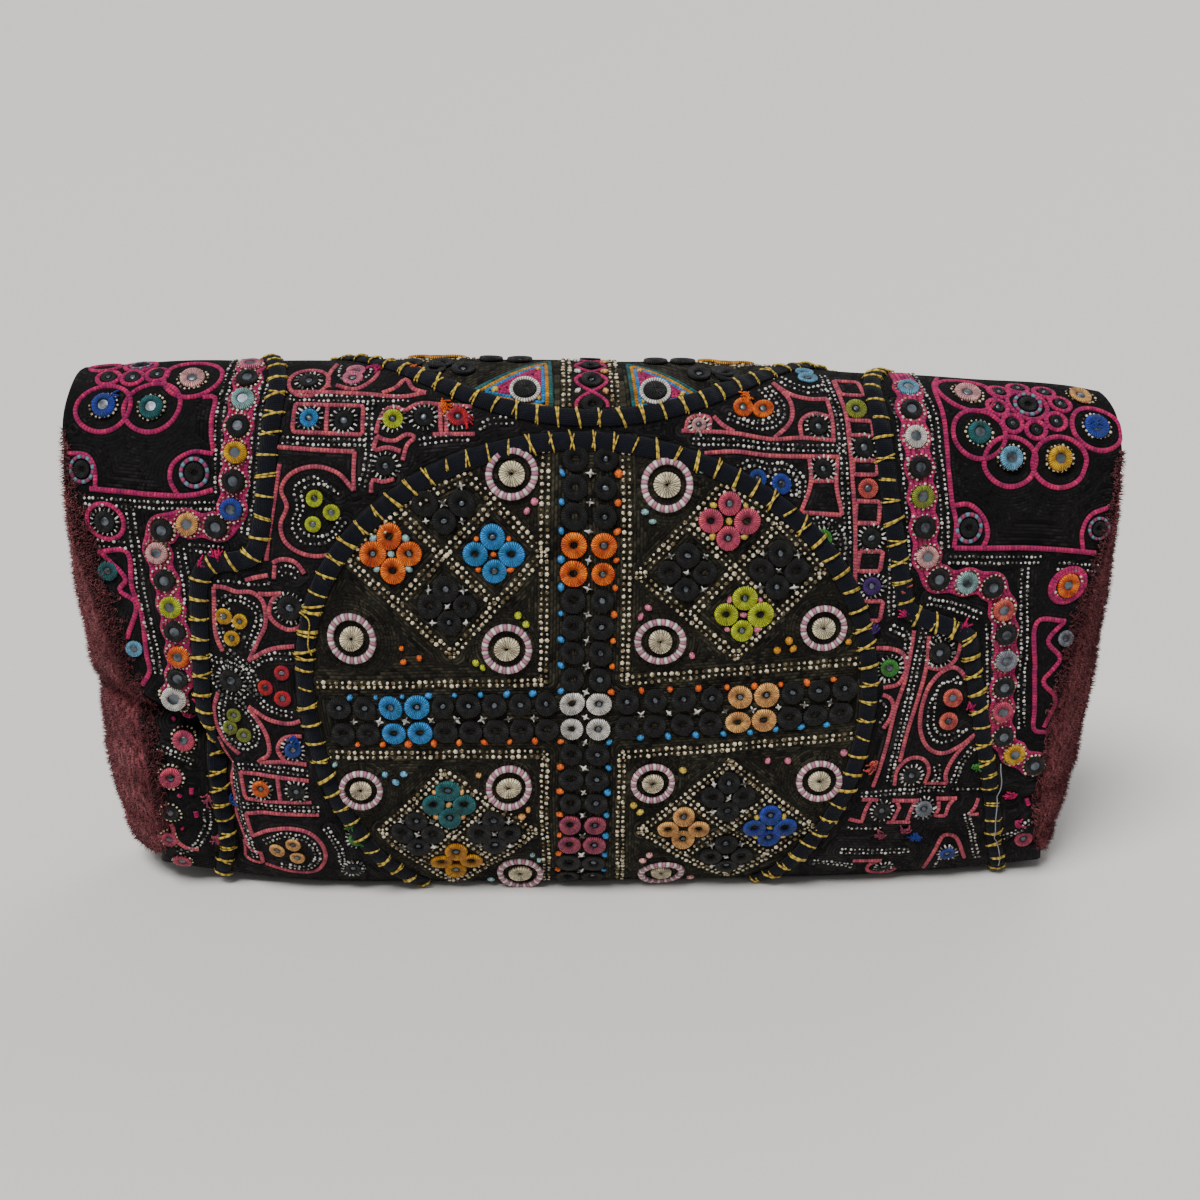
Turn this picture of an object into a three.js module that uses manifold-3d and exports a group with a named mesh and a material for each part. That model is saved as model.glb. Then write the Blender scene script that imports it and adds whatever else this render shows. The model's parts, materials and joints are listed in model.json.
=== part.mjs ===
// A soft flap clutch of patchworked mirror embroidery, standing closed on its base.
// Millimetres, +Z up, the front towards -Y. The origin is the middle of the flat base.
// The cloth is described by u, across its cut width, and v, the length along the middle of
// the bag from the flap's hem, up the front, over the top fold and down the back.
import * as THREE from "three";
import Module from "manifold-3d";

const wasm = await Module();
wasm.setup();

// Driving dimensions
const CLOTH_HALF_WIDTH = 157;
const HEM_ANGLE = -59; // where the flap ends, as an angle round the section, in degrees
const BACK_ANGLE = 238; // where the back meets the base
const FRONT_ROUND = 2.4; // roundness of the section across the bag: 2 is an ellipse, more is fuller
const TOP_ROUND = 2.6;
const BASE_ROUND = 3.3;
const FLATTENED = 6; // how far the unloaded form would reach below the floor

// Sections across the bag: station, height of the top fold, lift of the base, half the depth
const SECTIONS = [
  { x: -160, top: 168, base: 9, depth: 23 },
  { x: -145, top: 169, base: 6.5, depth: 27 },
  { x: -115, top: 170, base: 2, depth: 31.5 },
  { x: -80, top: 170, base: 0, depth: 34.5 },
  { x: -40, top: 170, base: 0, depth: 36 },
  { x: 0, top: 169, base: 0, depth: 36.5 },
  { x: 40, top: 167.5, base: 0, depth: 36 },
  { x: 80, top: 165, base: 0, depth: 34.5 },
  { x: 115, top: 163, base: 1, depth: 31.5 },
  { x: 145, top: 161, base: 2.5, depth: 27 },
  { x: 160, top: 158.5, base: 4, depth: 23 },
];

// Sides up the bag: height, half width of the cloth and swell of the gusset, on the left and on the right
const SIDES = [
  { z: 0, left: 144, right: 147, swellLeft: 4, swellRight: 4 },
  { z: 8, left: 141.5, right: 145, swellLeft: 10, swellRight: 7 },
  { z: 16, left: 139.5, right: 142.5, swellLeft: 14.5, swellRight: 11 },
  { z: 30, left: 139.5, right: 141, swellLeft: 17, swellRight: 15 },
  { z: 55, left: 141, right: 142, swellLeft: 17, swellRight: 16 },
  { z: 80, left: 145.5, right: 146, swellLeft: 13.5, swellRight: 13.5 },
  { z: 105, left: 151.5, right: 151.5, swellLeft: 8.5, swellRight: 9 },
  { z: 122, left: 155.5, right: 155.5, swellLeft: 4, swellRight: 4.5 },
  { z: 136, left: 157, right: 157.5, swellLeft: 1, swellRight: 1 },
  { z: 150, left: 157.5, right: 157.5, swellLeft: 0, swellRight: 0 },
  { z: 159, left: 157, right: 155.5, swellLeft: 0, swellRight: 0 },
  { z: 170, left: 154, right: 145, swellLeft: 0, swellRight: 0 },
];

// The tuck pressed into the lower left of the front: lines on the cloth, their depth and half width
const FOLDS = [
  { u0: -157, v0: 68, u1: -139, v1: 55, depth: 3, width: 13 },
  { u0: -139, v0: 55, u1: -132, v1: 8, depth: 3, width: 13 },
];

// Layers, as distances from the embroidered surface: negative is inside it
const PATCH = { inner: -1, outer: 0 };
const BACKING = { inner: -2.9, outer: -1.3 };
const POCKET_DEPTH = -3.2; // of the pocket's front, under the flap
const POCKET_WALL = 2;
const TAPE = { inner: 0.8, outer: 1.6 };
const MIRROR = { inner: 0.4, outer: 1.3 };
const CUTTER = { inner: -3, outer: 3 };
const GAP = 0.4;

// Patches: the two medallions are ovals on the cloth
const FRONT_MEDALLION = { u: -3.5, v: 68.5, across: 93.5, up: 87 };
const TOP_MEDALLION = { u: -3.5, v: 255.5, across: 93.5, up: 93 };
const TAPE_WIDTH = 6.5;
const TAPE_PITCH = 9;
const MIRROR_RADIUS = 3.2;
const MIRROR_SIDES = 10;

// Pocket and side walls
const MOUTH_V = 150; // the pocket's front edge, under the flap
const POCKET_TURN = 8; // length over which the pocket steps out from under the hem to the base
const GUSSET_LIFT = 4; // from the hem to the lower end of the gusset, along the cloth
const GUSSET_END_V = 136; // where the gusset ends at the open corner under the flap
const GUSSET_WALL = 2;
const GUSSET_INSET = 3.4; // the gusset's front edge lies this far behind the flap's face

// Joins between the yoke and the side fields: points of each tape's middle line, from the hem to the back
const BACK_END = 366;
const YOKE_JOINS = {
  left: [
    { u: -135, v: 0 }, { u: -134.5, v: 50 }, { u: -132, v: 72 }, { u: -126, v: 96 }, { u: -121, v: 113 },
    { u: -117, v: 117 }, { u: -104.5, v: 120 }, { u: -101, v: 125 }, { u: -96.5, v: 150 },
    { u: -95.5, v: 172 }, { u: -107, v: 225 }, { u: -107, v: BACK_END },
  ],
  right: [
    { u: 142, v: 0 }, { u: 141, v: 30 }, { u: 132.5, v: 60 }, { u: 122, v: 88 }, { u: 118, v: 96.5 },
    { u: 97, v: 106 }, { u: 94, v: 113 }, { u: 87, v: 137 }, { u: 84, v: 163 }, { u: 85, v: 175 },
    { u: 99, v: 228 }, { u: 99, v: BACK_END },
  ],
};

// Mirror garlands: the points of their middle lines, from the fold down to the side
const GARLANDS = {
  left: {
    mirrors: 17,
    line: [
      { u: -105.5, v: 184 }, { u: -104.8, v: 166 }, { u: -107, v: 140 }, { u: -109, v: 131.5 },
      { u: -112, v: 129 }, { u: -126, v: 129 }, { u: -131.5, v: 124.5 }, { u: -132.5, v: 108 },
      { u: -136.3, v: 84 }, { u: -142, v: 71.5 },
    ],
  },
  right: {
    mirrors: 18,
    line: [
      { u: 96.5, v: 178 }, { u: 94, v: 168 }, { u: 94.5, v: 154 }, { u: 97, v: 134 }, { u: 99.5, v: 123 },
      { u: 104, v: 116 }, { u: 122, v: 113 }, { u: 127, v: 107 }, { u: 133, v: 90.5 }, { u: 137, v: 70 },
      { u: 140, v: 59 }, { u: 146, v: 52 }, { u: 153, v: 48 },
    ],
  },
};

// Mirrors of the rosettes in the upper corners
const ROSETTES = {
  left: [{ u: -145.8, v: 165.8 }, { u: -131.5, v: 165 }],
  right: [{ u: 113.3, v: 161.7 }, { u: 122.5, v: 153.8 }, { u: 137.5, v: 153.8 }],
};

// Smooth curve through one column of a table
function along(table, key, column, at) {
  const last = table.length - 1;
  const slope = (i) => {
    const before = table[Math.max(i - 1, 0)];
    const after = table[Math.min(i + 1, last)];
    return (after[column] - before[column]) / (after[key] - before[key]);
  };
  const place = Math.min(Math.max(at, table[0][key]), table[last][key]);
  let i = 0;
  while (i < last - 1 && table[i + 1][key] < place) i++;
  const [a, b] = [table[i], table[i + 1]];
  const h = b[key] - a[key];
  const t = (place - a[key]) / h;
  return (
    (2 * t ** 3 - 3 * t ** 2 + 1) * a[column] + (t ** 3 - 2 * t ** 2 + t) * h * slope(i) +
    (3 * t ** 2 - 2 * t ** 3) * b[column] + (t ** 3 - t ** 2) * h * slope(i + 1)
  );
}

// Straight lines through a short list of points, as u for a given v
function lineAt(points, v) {
  let i = 0;
  while (i < points.length - 2 && points[i + 1].v < v) i++;
  const [a, b] = [points[i], points[i + 1]];
  const t = (v - a.v) / (b.v - a.v);
  return a.u + t * (b.u - a.u);
}

const powered = (value, exponent) => Math.sign(value) * Math.abs(value) ** (2 / exponent);

// Depth and height of the section at station x, at an angle from the front (0) to the top (90) and back
function section(x, angle) {
  const top = along(SECTIONS, "x", "top", x);
  const base = Math.max(along(SECTIONS, "x", "base", x), 0);
  const half = (top - base + FLATTENED) / 2;
  const sine = Math.sin(angle);
  const y = -along(SECTIONS, "x", "depth", x) * powered(Math.cos(angle), FRONT_ROUND);
  const z = top - half + half * powered(sine, sine > 0 ? TOP_ROUND : BASE_ROUND);
  return { y, z: Math.max(z, base) };
}

// Length along the middle section against the angle, counted from the hem
const ANGLE_STEP = THREE.MathUtils.degToRad(0.25);
const lengths = [];
{
  const first = THREE.MathUtils.degToRad(-130);
  const last = THREE.MathUtils.degToRad(250);
  let previous = section(0, first);
  let run = 0;
  for (let angle = first; angle <= last; angle += ANGLE_STEP) {
    const here = section(0, angle);
    run += Math.hypot(here.y - previous.y, here.z - previous.z);
    lengths.push({ angle, run });
    previous = here;
  }
}
const runAt = (degrees) => {
  const i = Math.round((THREE.MathUtils.degToRad(degrees) - lengths[0].angle) / ANGLE_STEP);
  return lengths[i].run;
};
const HEM_RUN = runAt(HEM_ANGLE);
const BACK_V = runAt(BACK_ANGLE) - HEM_RUN;
const BASE_V = runAt(BACK_ANGLE - 360) - HEM_RUN;

function angleAt(v) {
  const run = v + HEM_RUN;
  let [low, high] = [0, lengths.length - 1];
  while (high - low > 1) {
    const middle = (low + high) >> 1;
    if (lengths[middle].run < run) low = middle;
    else high = middle;
  }
  const [a, b] = [lengths[low], lengths[high]];
  const t = b.run > a.run ? (run - a.run) / (b.run - a.run) : 0;
  return a.angle + t * (b.angle - a.angle);
}

// The smooth embroidered surface
function smoothPoint(u, v) {
  const angle = angleAt(v);
  const side = u < 0 ? "left" : "right";
  let x = u;
  for (let pass = 0; pass < 8; pass++) {
    x = (u / CLOTH_HALF_WIDTH) * along(SIDES, "z", side, section(x, angle).z);
  }
  const { y, z } = section(x, angle);
  return new THREE.Vector3(x, y, z);
}

function normalAt(u, v) {
  const step = 0.5;
  const across = smoothPoint(u + step, v).sub(smoothPoint(u - step, v));
  const up = smoothPoint(u, v + step).sub(smoothPoint(u, v - step));
  return across.cross(up).normalize();
}

// How far the folds press the cloth in
function foldDepth(u, v) {
  let depth = 0;
  for (const fold of FOLDS) {
    const line = new THREE.Line3(new THREE.Vector3(fold.u0, fold.v0), new THREE.Vector3(fold.u1, fold.v1));
    const here = new THREE.Vector3(u, v);
    const distance = line.closestPointToPoint(here, true, new THREE.Vector3()).distanceTo(here);
    depth = Math.max(depth, fold.depth * Math.exp(-((distance / fold.width) ** 2)));
  }
  return depth;
}

function clothPoint(u, v, offset) {
  return smoothPoint(u, v).addScaledVector(normalAt(u, v), offset - foldDepth(u, v));
}

// A closed solid between two grids of points, grid(row, column, "inner" or "outer"), as a Manifold
function shell(rows, columns, grid) {
  const vertices = [];
  const triangles = [];
  const index = {};
  for (const face of ["inner", "outer"]) {
    index[face] = [];
    for (let i = 0; i <= rows; i++) {
      index[face].push([]);
      for (let j = 0; j <= columns; j++) {
        index[face][i].push(vertices.length / 3);
        vertices.push(...grid(i, j, face).toArray());
      }
    }
  }
  const quad = (a, b, c, d) => triangles.push(a, b, c, a, c, d);
  const { inner, outer } = index;
  for (let i = 0; i < rows; i++) {
    for (let j = 0; j < columns; j++) {
      quad(outer[i][j], outer[i][j + 1], outer[i + 1][j + 1], outer[i + 1][j]);
      quad(inner[i][j], inner[i + 1][j], inner[i + 1][j + 1], inner[i][j + 1]);
    }
    quad(outer[i][0], outer[i + 1][0], inner[i + 1][0], inner[i][0]);
    quad(outer[i][columns], inner[i][columns], inner[i + 1][columns], outer[i + 1][columns]);
  }
  for (let j = 0; j < columns; j++) {
    quad(outer[0][j], inner[0][j], inner[0][j + 1], outer[0][j + 1]);
    quad(inner[rows][j], outer[rows][j], outer[rows][j + 1], inner[rows][j + 1]);
  }
  return new wasm.Manifold(
    new wasm.Mesh({
      numProp: 3,
      vertProperties: new Float32Array(vertices),
      triVerts: new Uint32Array(triangles),
    }),
  );
}

// Rows and columns that every layer shares, closer together where the cloth bends
const ROLL_STEP = 9;
const FLAT_STEP = 27;
function rowStations(from, to) {
  const stations = [from];
  let v = Math.ceil((from + 1) / ROLL_STEP) * ROLL_STEP;
  while (v < to - 3) {
    stations.push(v);
    const height = smoothPoint(0, v).z;
    v += height > 35 && height < 112 ? FLAT_STEP : ROLL_STEP;
  }
  stations.push(to);
  return stations;
}
const PATCH_ROWS = rowStations(0, BACK_V);
const COLUMNS = [-157, -147, -136, -124, -98, -52, 0, 52, 98, 124, 142, 157];

// A sheet over the whole width of the cloth, its layer given for each v
function sheet(rows, layer) {
  return shell(rows.length - 1, COLUMNS.length - 1, (i, j, face) => {
    return clothPoint(COLUMNS[j], rows[i], layer(rows[i])[face]);
  });
}

// A thick piece of the cloth's surface between two edges, each given as u for a v, to cut a sheet with
function region(leftEdge, rightEdge) {
  const joints = [...YOKE_JOINS.left, ...YOKE_JOINS.right].map((point) => point.v);
  const rows = [-POCKET_TURN, ...PATCH_ROWS.slice(1, -1), ...joints.slice(1), BACK_V + GAP];
  const stations = [...new Set(rows)].sort((a, b) => a - b);
  const columns = 6;
  return shell(stations.length - 1, columns, (i, j, face) => {
    const v = stations[i];
    return clothPoint(THREE.MathUtils.lerp(leftEdge(v), rightEdge(v), j / columns), v, CUTTER[face]);
  });
}

// A thick oval plug through the cloth, in straight chords from one side of the oval to the other
function plug(oval, grow) {
  const [rows, columns] = [14, 6];
  const end = 0.1; // half the angle left square at each pole
  return shell(rows, columns, (i, j, face) => {
    const turn = THREE.MathUtils.lerp(end - Math.PI / 2, Math.PI / 2 - end, i / rows);
    const u = oval.u + (oval.across + grow) * Math.cos(turn) * ((2 * j) / columns - 1);
    return clothPoint(u, oval.v + (oval.up + grow) * Math.sin(turn), CUTTER[face]);
  });
}

// A tape laid along a line of points on the cloth
function tape(points) {
  const last = points.length - 1;
  return shell(last, 1, (i, j, face) => {
    const [a, b] = [points[Math.max(i - 1, 0)], points[Math.min(i + 1, last)]];
    const reach = ((j - 0.5) * TAPE_WIDTH) / Math.hypot(b.u - a.u, b.v - a.v);
    return clothPoint(points[i].u + reach * (b.v - a.v), points[i].v - reach * (b.u - a.u), TAPE[face]);
  });
}

// Evenly spaced points along a line of points, with its corners rounded
function smoothLine(line) {
  const corners = line.map(({ u, v }) => new THREE.Vector3(u, v, 0));
  return new THREE.CatmullRomCurve3(corners, false, "centripetal");
}
function pointsAlong(curve, steps) {
  return curve.getSpacedPoints(steps).map(({ x, y }) => ({ u: x, v: y }));
}

// The edge of a medallion from one angle to another
function pointsRound(oval, from, to) {
  const steps = Math.round(((to - from) * oval.across) / TAPE_PITCH);
  return Array.from({ length: steps + 1 }, (_, i) => {
    const turn = from + ((to - from) * i) / steps;
    return { u: oval.u + oval.across * Math.cos(turn), v: oval.v + oval.up * Math.sin(turn) };
  });
}

// One side wall: a soft panel that swells outwards, from the base up to the open corner under the flap
function gusset(side) {
  const sign = side === "left" ? -1 : 1;
  const swellColumn = side === "left" ? "swellLeft" : "swellRight";
  const [rows, columns] = [8, 6];
  return shell(rows, columns, (i, j, face) => {
    const v = THREE.MathUtils.lerp(GUSSET_LIFT, GUSSET_END_V, i / rows);
    const front = smoothPoint(sign * CLOTH_HALF_WIDTH, v);
    const share = side === "left" ? j / columns : 1 - j / columns;
    const y = THREE.MathUtils.lerp(-front.y - GAP, front.y + GUSSET_INSET, share);
    const swell = along(SIDES, "z", swellColumn, front.z) * Math.sin(Math.PI * share) ** 0.75;
    const wall = face === "outer" ? GUSSET_WALL : 0;
    return new THREE.Vector3(front.x + sign * (2 * GAP + swell + wall), y, front.z);
  });
}

// The pocket's layer: under the flap on the front, and out to the resting face on the base
function pocketLayer(v) {
  const outer = POCKET_DEPTH * THREE.MathUtils.smoothstep(v, -POCKET_TURN, 0);
  return { inner: outer - POCKET_WALL, outer };
}

// A mirror disc, flat against the cloth
function mirror({ u, v }) {
  const thickness = MIRROR.outer - MIRROR.inner;
  const disc = new THREE.CylinderGeometry(MIRROR_RADIUS, MIRROR_RADIUS, thickness, MIRROR_SIDES);
  const mesh = new THREE.Mesh(disc, materials.mirror);
  const across = clothPoint(u + MIRROR_RADIUS, v, 0).sub(clothPoint(u - MIRROR_RADIUS, v, 0));
  const up = clothPoint(u, v + MIRROR_RADIUS, 0).sub(clothPoint(u, v - MIRROR_RADIUS, 0));
  mesh.quaternion.setFromUnitVectors(new THREE.Vector3(0, 1, 0), across.cross(up).normalize());
  mesh.position.copy(clothPoint(u, v, (MIRROR.inner + MIRROR.outer) / 2));
  return mesh;
}

function finish(color, roughness, metalness = 0) {
  return new THREE.MeshStandardMaterial({ color, roughness, metalness });
}

const materials = {
  backing: finish(0x17171b, 0.9),
  field: finish(0x1b181a, 0.85),
  yoke: finish(0x1d1a1c, 0.85),
  medallion: finish(0x26231c, 0.85),
  pile: finish(0x5a2b30, 0.95),
  tape: finish(0x15161c, 0.8),
  mirror: finish(0xb9bcc0, 0.15, 0.9),
};

const clutch = new THREE.Group();

function add(name, solid, material) {
  const made = solid.getMesh();
  const geometry = new THREE.BufferGeometry();
  geometry.setAttribute("position", new THREE.BufferAttribute(made.vertProperties, 3));
  geometry.setIndex(new THREE.BufferAttribute(made.triVerts, 1));
  geometry.computeVertexNormals();
  const mesh = new THREE.Mesh(geometry, material);
  mesh.name = name;
  clutch.add(mesh);
}

// Backing cloth, pocket and side walls
add("outer_panel", sheet(PATCH_ROWS, () => BACKING), materials.backing);
const frontRows = PATCH_ROWS.filter((v) => v > 0 && v < MOUTH_V);
add("pocket", sheet([...rowStations(BASE_V + 2 * GAP, 0), ...frontRows], pocketLayer), materials.backing);
add("gusset_left", gusset("left"), materials.pile);
add("gusset_right", gusset("right"), materials.pile);

// Patches, all cut from one layer over the backing
const layer = sheet(PATCH_ROWS, () => PATCH);
const edge = (u) => () => u;
const join = (side, shift) => (v) => lineAt(YOKE_JOINS[side], v) + shift;
const holes = [FRONT_MEDALLION, TOP_MEDALLION].map((oval) => plug(oval, GAP));
const cutHoles = (solid) => holes.reduce((rest, hole) => rest.subtract(hole), solid);
const middle = FRONT_MEDALLION.u;
const BEYOND = CLOTH_HALF_WIDTH + 2;
const fieldLeft = region(edge(-BEYOND), join("left", -GAP / 2));
const fieldRight = region(join("right", GAP / 2), edge(BEYOND));
const yokeLeft = region(join("left", GAP / 2), edge(middle - GAP / 2));
const yokeRight = region(edge(middle + GAP / 2), join("right", -GAP / 2));
add("field_left", layer.intersect(fieldLeft), materials.field);
add("field_right", layer.intersect(fieldRight), materials.field);
add("yoke_left", cutHoles(layer.intersect(yokeLeft)), materials.yoke);
add("yoke_right", cutHoles(layer.intersect(yokeRight)), materials.yoke);
add("medallion_front", layer.intersect(plug(FRONT_MEDALLION, 0)), materials.medallion);
add("medallion_top", layer.intersect(plug(TOP_MEDALLION, 0)), materials.medallion);

// Tapes over the joins
const hemTurn = Math.asin((FRONT_MEDALLION.v - 4) / FRONT_MEDALLION.up);
const almost = Math.PI - 0.02; // the ends of the whole round meet with a small gap
const frontRound = pointsRound(FRONT_MEDALLION, -hemTurn, Math.PI + hemTurn);
const topRound = pointsRound(TOP_MEDALLION, Math.PI / 2 - 2 * almost, Math.PI / 2);
add("tape_medallion_front", tape(frontRound), materials.tape);
add("tape_medallion_top", tape(topRound), materials.tape);
for (const side of ["left", "right"]) {
  const curve = smoothLine(YOKE_JOINS[side]);
  const steps = Math.round(curve.getLength() / TAPE_PITCH);
  add(`tape_yoke_${side}`, tape(pointsAlong(curve, steps)), materials.tape);
}

// Mirrors along the garlands and in the rosettes
for (const side of ["left", "right"]) {
  const { mirrors, line } = GARLANDS[side];
  const places = [...pointsAlong(smoothLine(line), mirrors - 1), ...ROSETTES[side]];
  places.forEach((place, i) => {
    const mesh = mirror(place);
    mesh.name = `mirror_${side}_${String(i + 1).padStart(2, "0")}`;
    clutch.add(mesh);
  });
}

export default clutch;
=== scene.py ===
# %% [markdown]
# # A patchwork flap clutch in mirror embroidery
# The real bag is a soft cloth pouch with a long flap, sewn together from pieces of old
# embroidery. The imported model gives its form, its patches, its tapes and its main mirrors.
# This lesson dresses that frame: cloth, thread, beads and pile, all in metres and all in the
# same frame, so that nothing has to be fitted afterwards.

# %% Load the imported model
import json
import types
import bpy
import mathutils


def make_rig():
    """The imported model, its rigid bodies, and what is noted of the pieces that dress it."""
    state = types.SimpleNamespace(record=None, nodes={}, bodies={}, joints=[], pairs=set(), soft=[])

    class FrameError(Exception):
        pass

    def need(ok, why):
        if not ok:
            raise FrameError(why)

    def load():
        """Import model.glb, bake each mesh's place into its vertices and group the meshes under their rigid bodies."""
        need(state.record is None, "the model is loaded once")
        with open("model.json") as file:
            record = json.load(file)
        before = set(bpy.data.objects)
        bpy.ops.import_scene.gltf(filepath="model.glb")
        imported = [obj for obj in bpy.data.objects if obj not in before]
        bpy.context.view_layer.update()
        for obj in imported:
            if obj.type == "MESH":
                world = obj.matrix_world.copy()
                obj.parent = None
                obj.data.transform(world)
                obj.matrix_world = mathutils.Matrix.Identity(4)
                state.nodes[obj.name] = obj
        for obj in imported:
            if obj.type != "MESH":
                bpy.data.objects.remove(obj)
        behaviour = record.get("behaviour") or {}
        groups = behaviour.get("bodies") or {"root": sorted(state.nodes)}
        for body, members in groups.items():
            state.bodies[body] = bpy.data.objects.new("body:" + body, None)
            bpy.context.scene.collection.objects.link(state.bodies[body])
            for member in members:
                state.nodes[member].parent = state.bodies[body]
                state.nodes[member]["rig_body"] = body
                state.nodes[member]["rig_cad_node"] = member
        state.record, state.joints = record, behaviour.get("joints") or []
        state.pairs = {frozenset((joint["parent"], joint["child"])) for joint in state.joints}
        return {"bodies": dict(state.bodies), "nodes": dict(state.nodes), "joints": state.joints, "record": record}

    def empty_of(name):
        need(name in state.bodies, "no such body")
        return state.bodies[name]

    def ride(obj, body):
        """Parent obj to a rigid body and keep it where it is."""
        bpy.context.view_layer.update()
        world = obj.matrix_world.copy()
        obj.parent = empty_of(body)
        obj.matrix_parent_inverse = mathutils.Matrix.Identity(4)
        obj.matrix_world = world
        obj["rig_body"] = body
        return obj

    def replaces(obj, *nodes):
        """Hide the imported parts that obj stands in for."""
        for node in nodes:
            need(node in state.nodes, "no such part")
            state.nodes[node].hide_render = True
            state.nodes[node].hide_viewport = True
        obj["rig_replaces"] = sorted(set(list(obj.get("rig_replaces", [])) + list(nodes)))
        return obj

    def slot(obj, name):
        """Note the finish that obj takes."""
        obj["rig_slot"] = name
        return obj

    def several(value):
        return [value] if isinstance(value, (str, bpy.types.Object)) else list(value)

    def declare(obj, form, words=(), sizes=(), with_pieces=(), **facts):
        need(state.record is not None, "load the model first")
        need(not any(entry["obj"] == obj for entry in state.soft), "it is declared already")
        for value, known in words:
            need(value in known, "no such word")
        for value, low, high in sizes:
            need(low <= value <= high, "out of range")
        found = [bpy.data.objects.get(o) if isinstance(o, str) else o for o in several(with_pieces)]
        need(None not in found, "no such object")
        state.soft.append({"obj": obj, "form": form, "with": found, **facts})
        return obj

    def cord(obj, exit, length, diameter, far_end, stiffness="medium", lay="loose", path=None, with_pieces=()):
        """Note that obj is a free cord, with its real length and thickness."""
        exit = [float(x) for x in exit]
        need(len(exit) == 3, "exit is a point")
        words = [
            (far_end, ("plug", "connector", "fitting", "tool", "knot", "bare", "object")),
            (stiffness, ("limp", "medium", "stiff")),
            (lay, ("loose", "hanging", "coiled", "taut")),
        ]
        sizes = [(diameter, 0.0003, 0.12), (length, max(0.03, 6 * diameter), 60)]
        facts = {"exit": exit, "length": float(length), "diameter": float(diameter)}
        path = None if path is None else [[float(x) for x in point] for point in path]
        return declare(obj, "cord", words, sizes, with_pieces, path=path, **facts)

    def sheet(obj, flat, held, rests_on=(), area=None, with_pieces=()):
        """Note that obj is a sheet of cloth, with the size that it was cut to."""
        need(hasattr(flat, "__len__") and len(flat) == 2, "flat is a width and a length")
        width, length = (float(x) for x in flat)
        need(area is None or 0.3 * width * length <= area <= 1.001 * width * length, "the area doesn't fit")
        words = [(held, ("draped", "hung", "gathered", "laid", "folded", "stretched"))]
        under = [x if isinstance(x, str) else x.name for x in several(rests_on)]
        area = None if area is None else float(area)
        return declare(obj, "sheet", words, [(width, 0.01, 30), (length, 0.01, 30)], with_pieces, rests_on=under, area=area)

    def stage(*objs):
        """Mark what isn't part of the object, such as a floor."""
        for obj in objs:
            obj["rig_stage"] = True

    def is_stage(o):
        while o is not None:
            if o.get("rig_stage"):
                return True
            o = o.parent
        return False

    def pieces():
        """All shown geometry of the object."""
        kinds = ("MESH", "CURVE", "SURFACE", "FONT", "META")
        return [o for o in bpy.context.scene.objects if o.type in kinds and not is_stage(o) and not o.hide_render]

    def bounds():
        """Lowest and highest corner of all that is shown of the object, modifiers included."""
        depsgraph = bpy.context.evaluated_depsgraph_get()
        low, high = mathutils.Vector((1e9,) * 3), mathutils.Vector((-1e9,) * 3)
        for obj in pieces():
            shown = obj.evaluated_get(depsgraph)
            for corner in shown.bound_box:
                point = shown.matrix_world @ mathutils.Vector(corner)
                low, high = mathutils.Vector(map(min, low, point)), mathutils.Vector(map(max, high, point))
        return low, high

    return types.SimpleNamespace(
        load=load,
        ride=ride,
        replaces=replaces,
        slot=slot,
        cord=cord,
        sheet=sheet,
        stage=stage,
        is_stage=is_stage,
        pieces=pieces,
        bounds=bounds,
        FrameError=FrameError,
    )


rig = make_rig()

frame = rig.load()
import json
import bpy
import numpy as np
from mathutils import Vector
from mathutils.kdtree import KDTree

cad_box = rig.bounds()
print("CAD nodes:", len(frame["nodes"]), "box:", [round(side, 3) for side in cad_box[1] - cad_box[0]])

# %% [markdown]
# ## The cloth's form
# Every stitch on this bag lies on one bent sheet, so the sheet is described once. A place on
# it has two lengths in millimetres: u across the bag and v from the flap's hem, up the front,
# over the top fold and down the back. The sections and sides are the ones the solids use.

# %% Sections, sides and folds
MM = 0.001
HALF_WIDTH = 157.0
FRONT_ROUND = 2.4
TOP_ROUND = 2.6
BASE_ROUND = 3.3
FLATTENED = 6.0
HEM_ANGLE = -59.0
BACK_ANGLE = 238.0
EDGE_ROLL = 1.45
# Station across the bag, height of the top fold, lift of the base, half the depth
SECTIONS = np.array([
    (-160, 168, 9, 23), (-145, 169, 6.5, 27), (-115, 170, 2, 31.5), (-80, 170, 0, 34.5),
    (-40, 170, 0, 36), (0, 169, 0, 36.5), (40, 167.5, 0, 36), (80, 165, 0, 34.5),
    (115, 163, 1, 31.5), (145, 161, 2.5, 27), (160, 158.5, 4, 23),
], float)
# Height, half width on the left and right, swell of the gusset on the left and right
SIDES = np.array([
    (0, 144, 147, 4, 4), (8, 141.5, 145, 10, 7), (16, 139.5, 142.5, 14.5, 11),
    (30, 139.5, 141, 17, 15), (55, 141, 142, 17, 16), (80, 145.5, 146, 13.5, 13.5),
    (105, 151.5, 151.5, 8.5, 9), (122, 155.5, 155.5, 4, 4.5), (136, 157, 157.5, 1, 1),
    (150, 157.5, 157.5, 0, 0), (159, 157, 155.5, 0, 0), (170, 154, 145, 0, 0),
], float)
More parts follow.
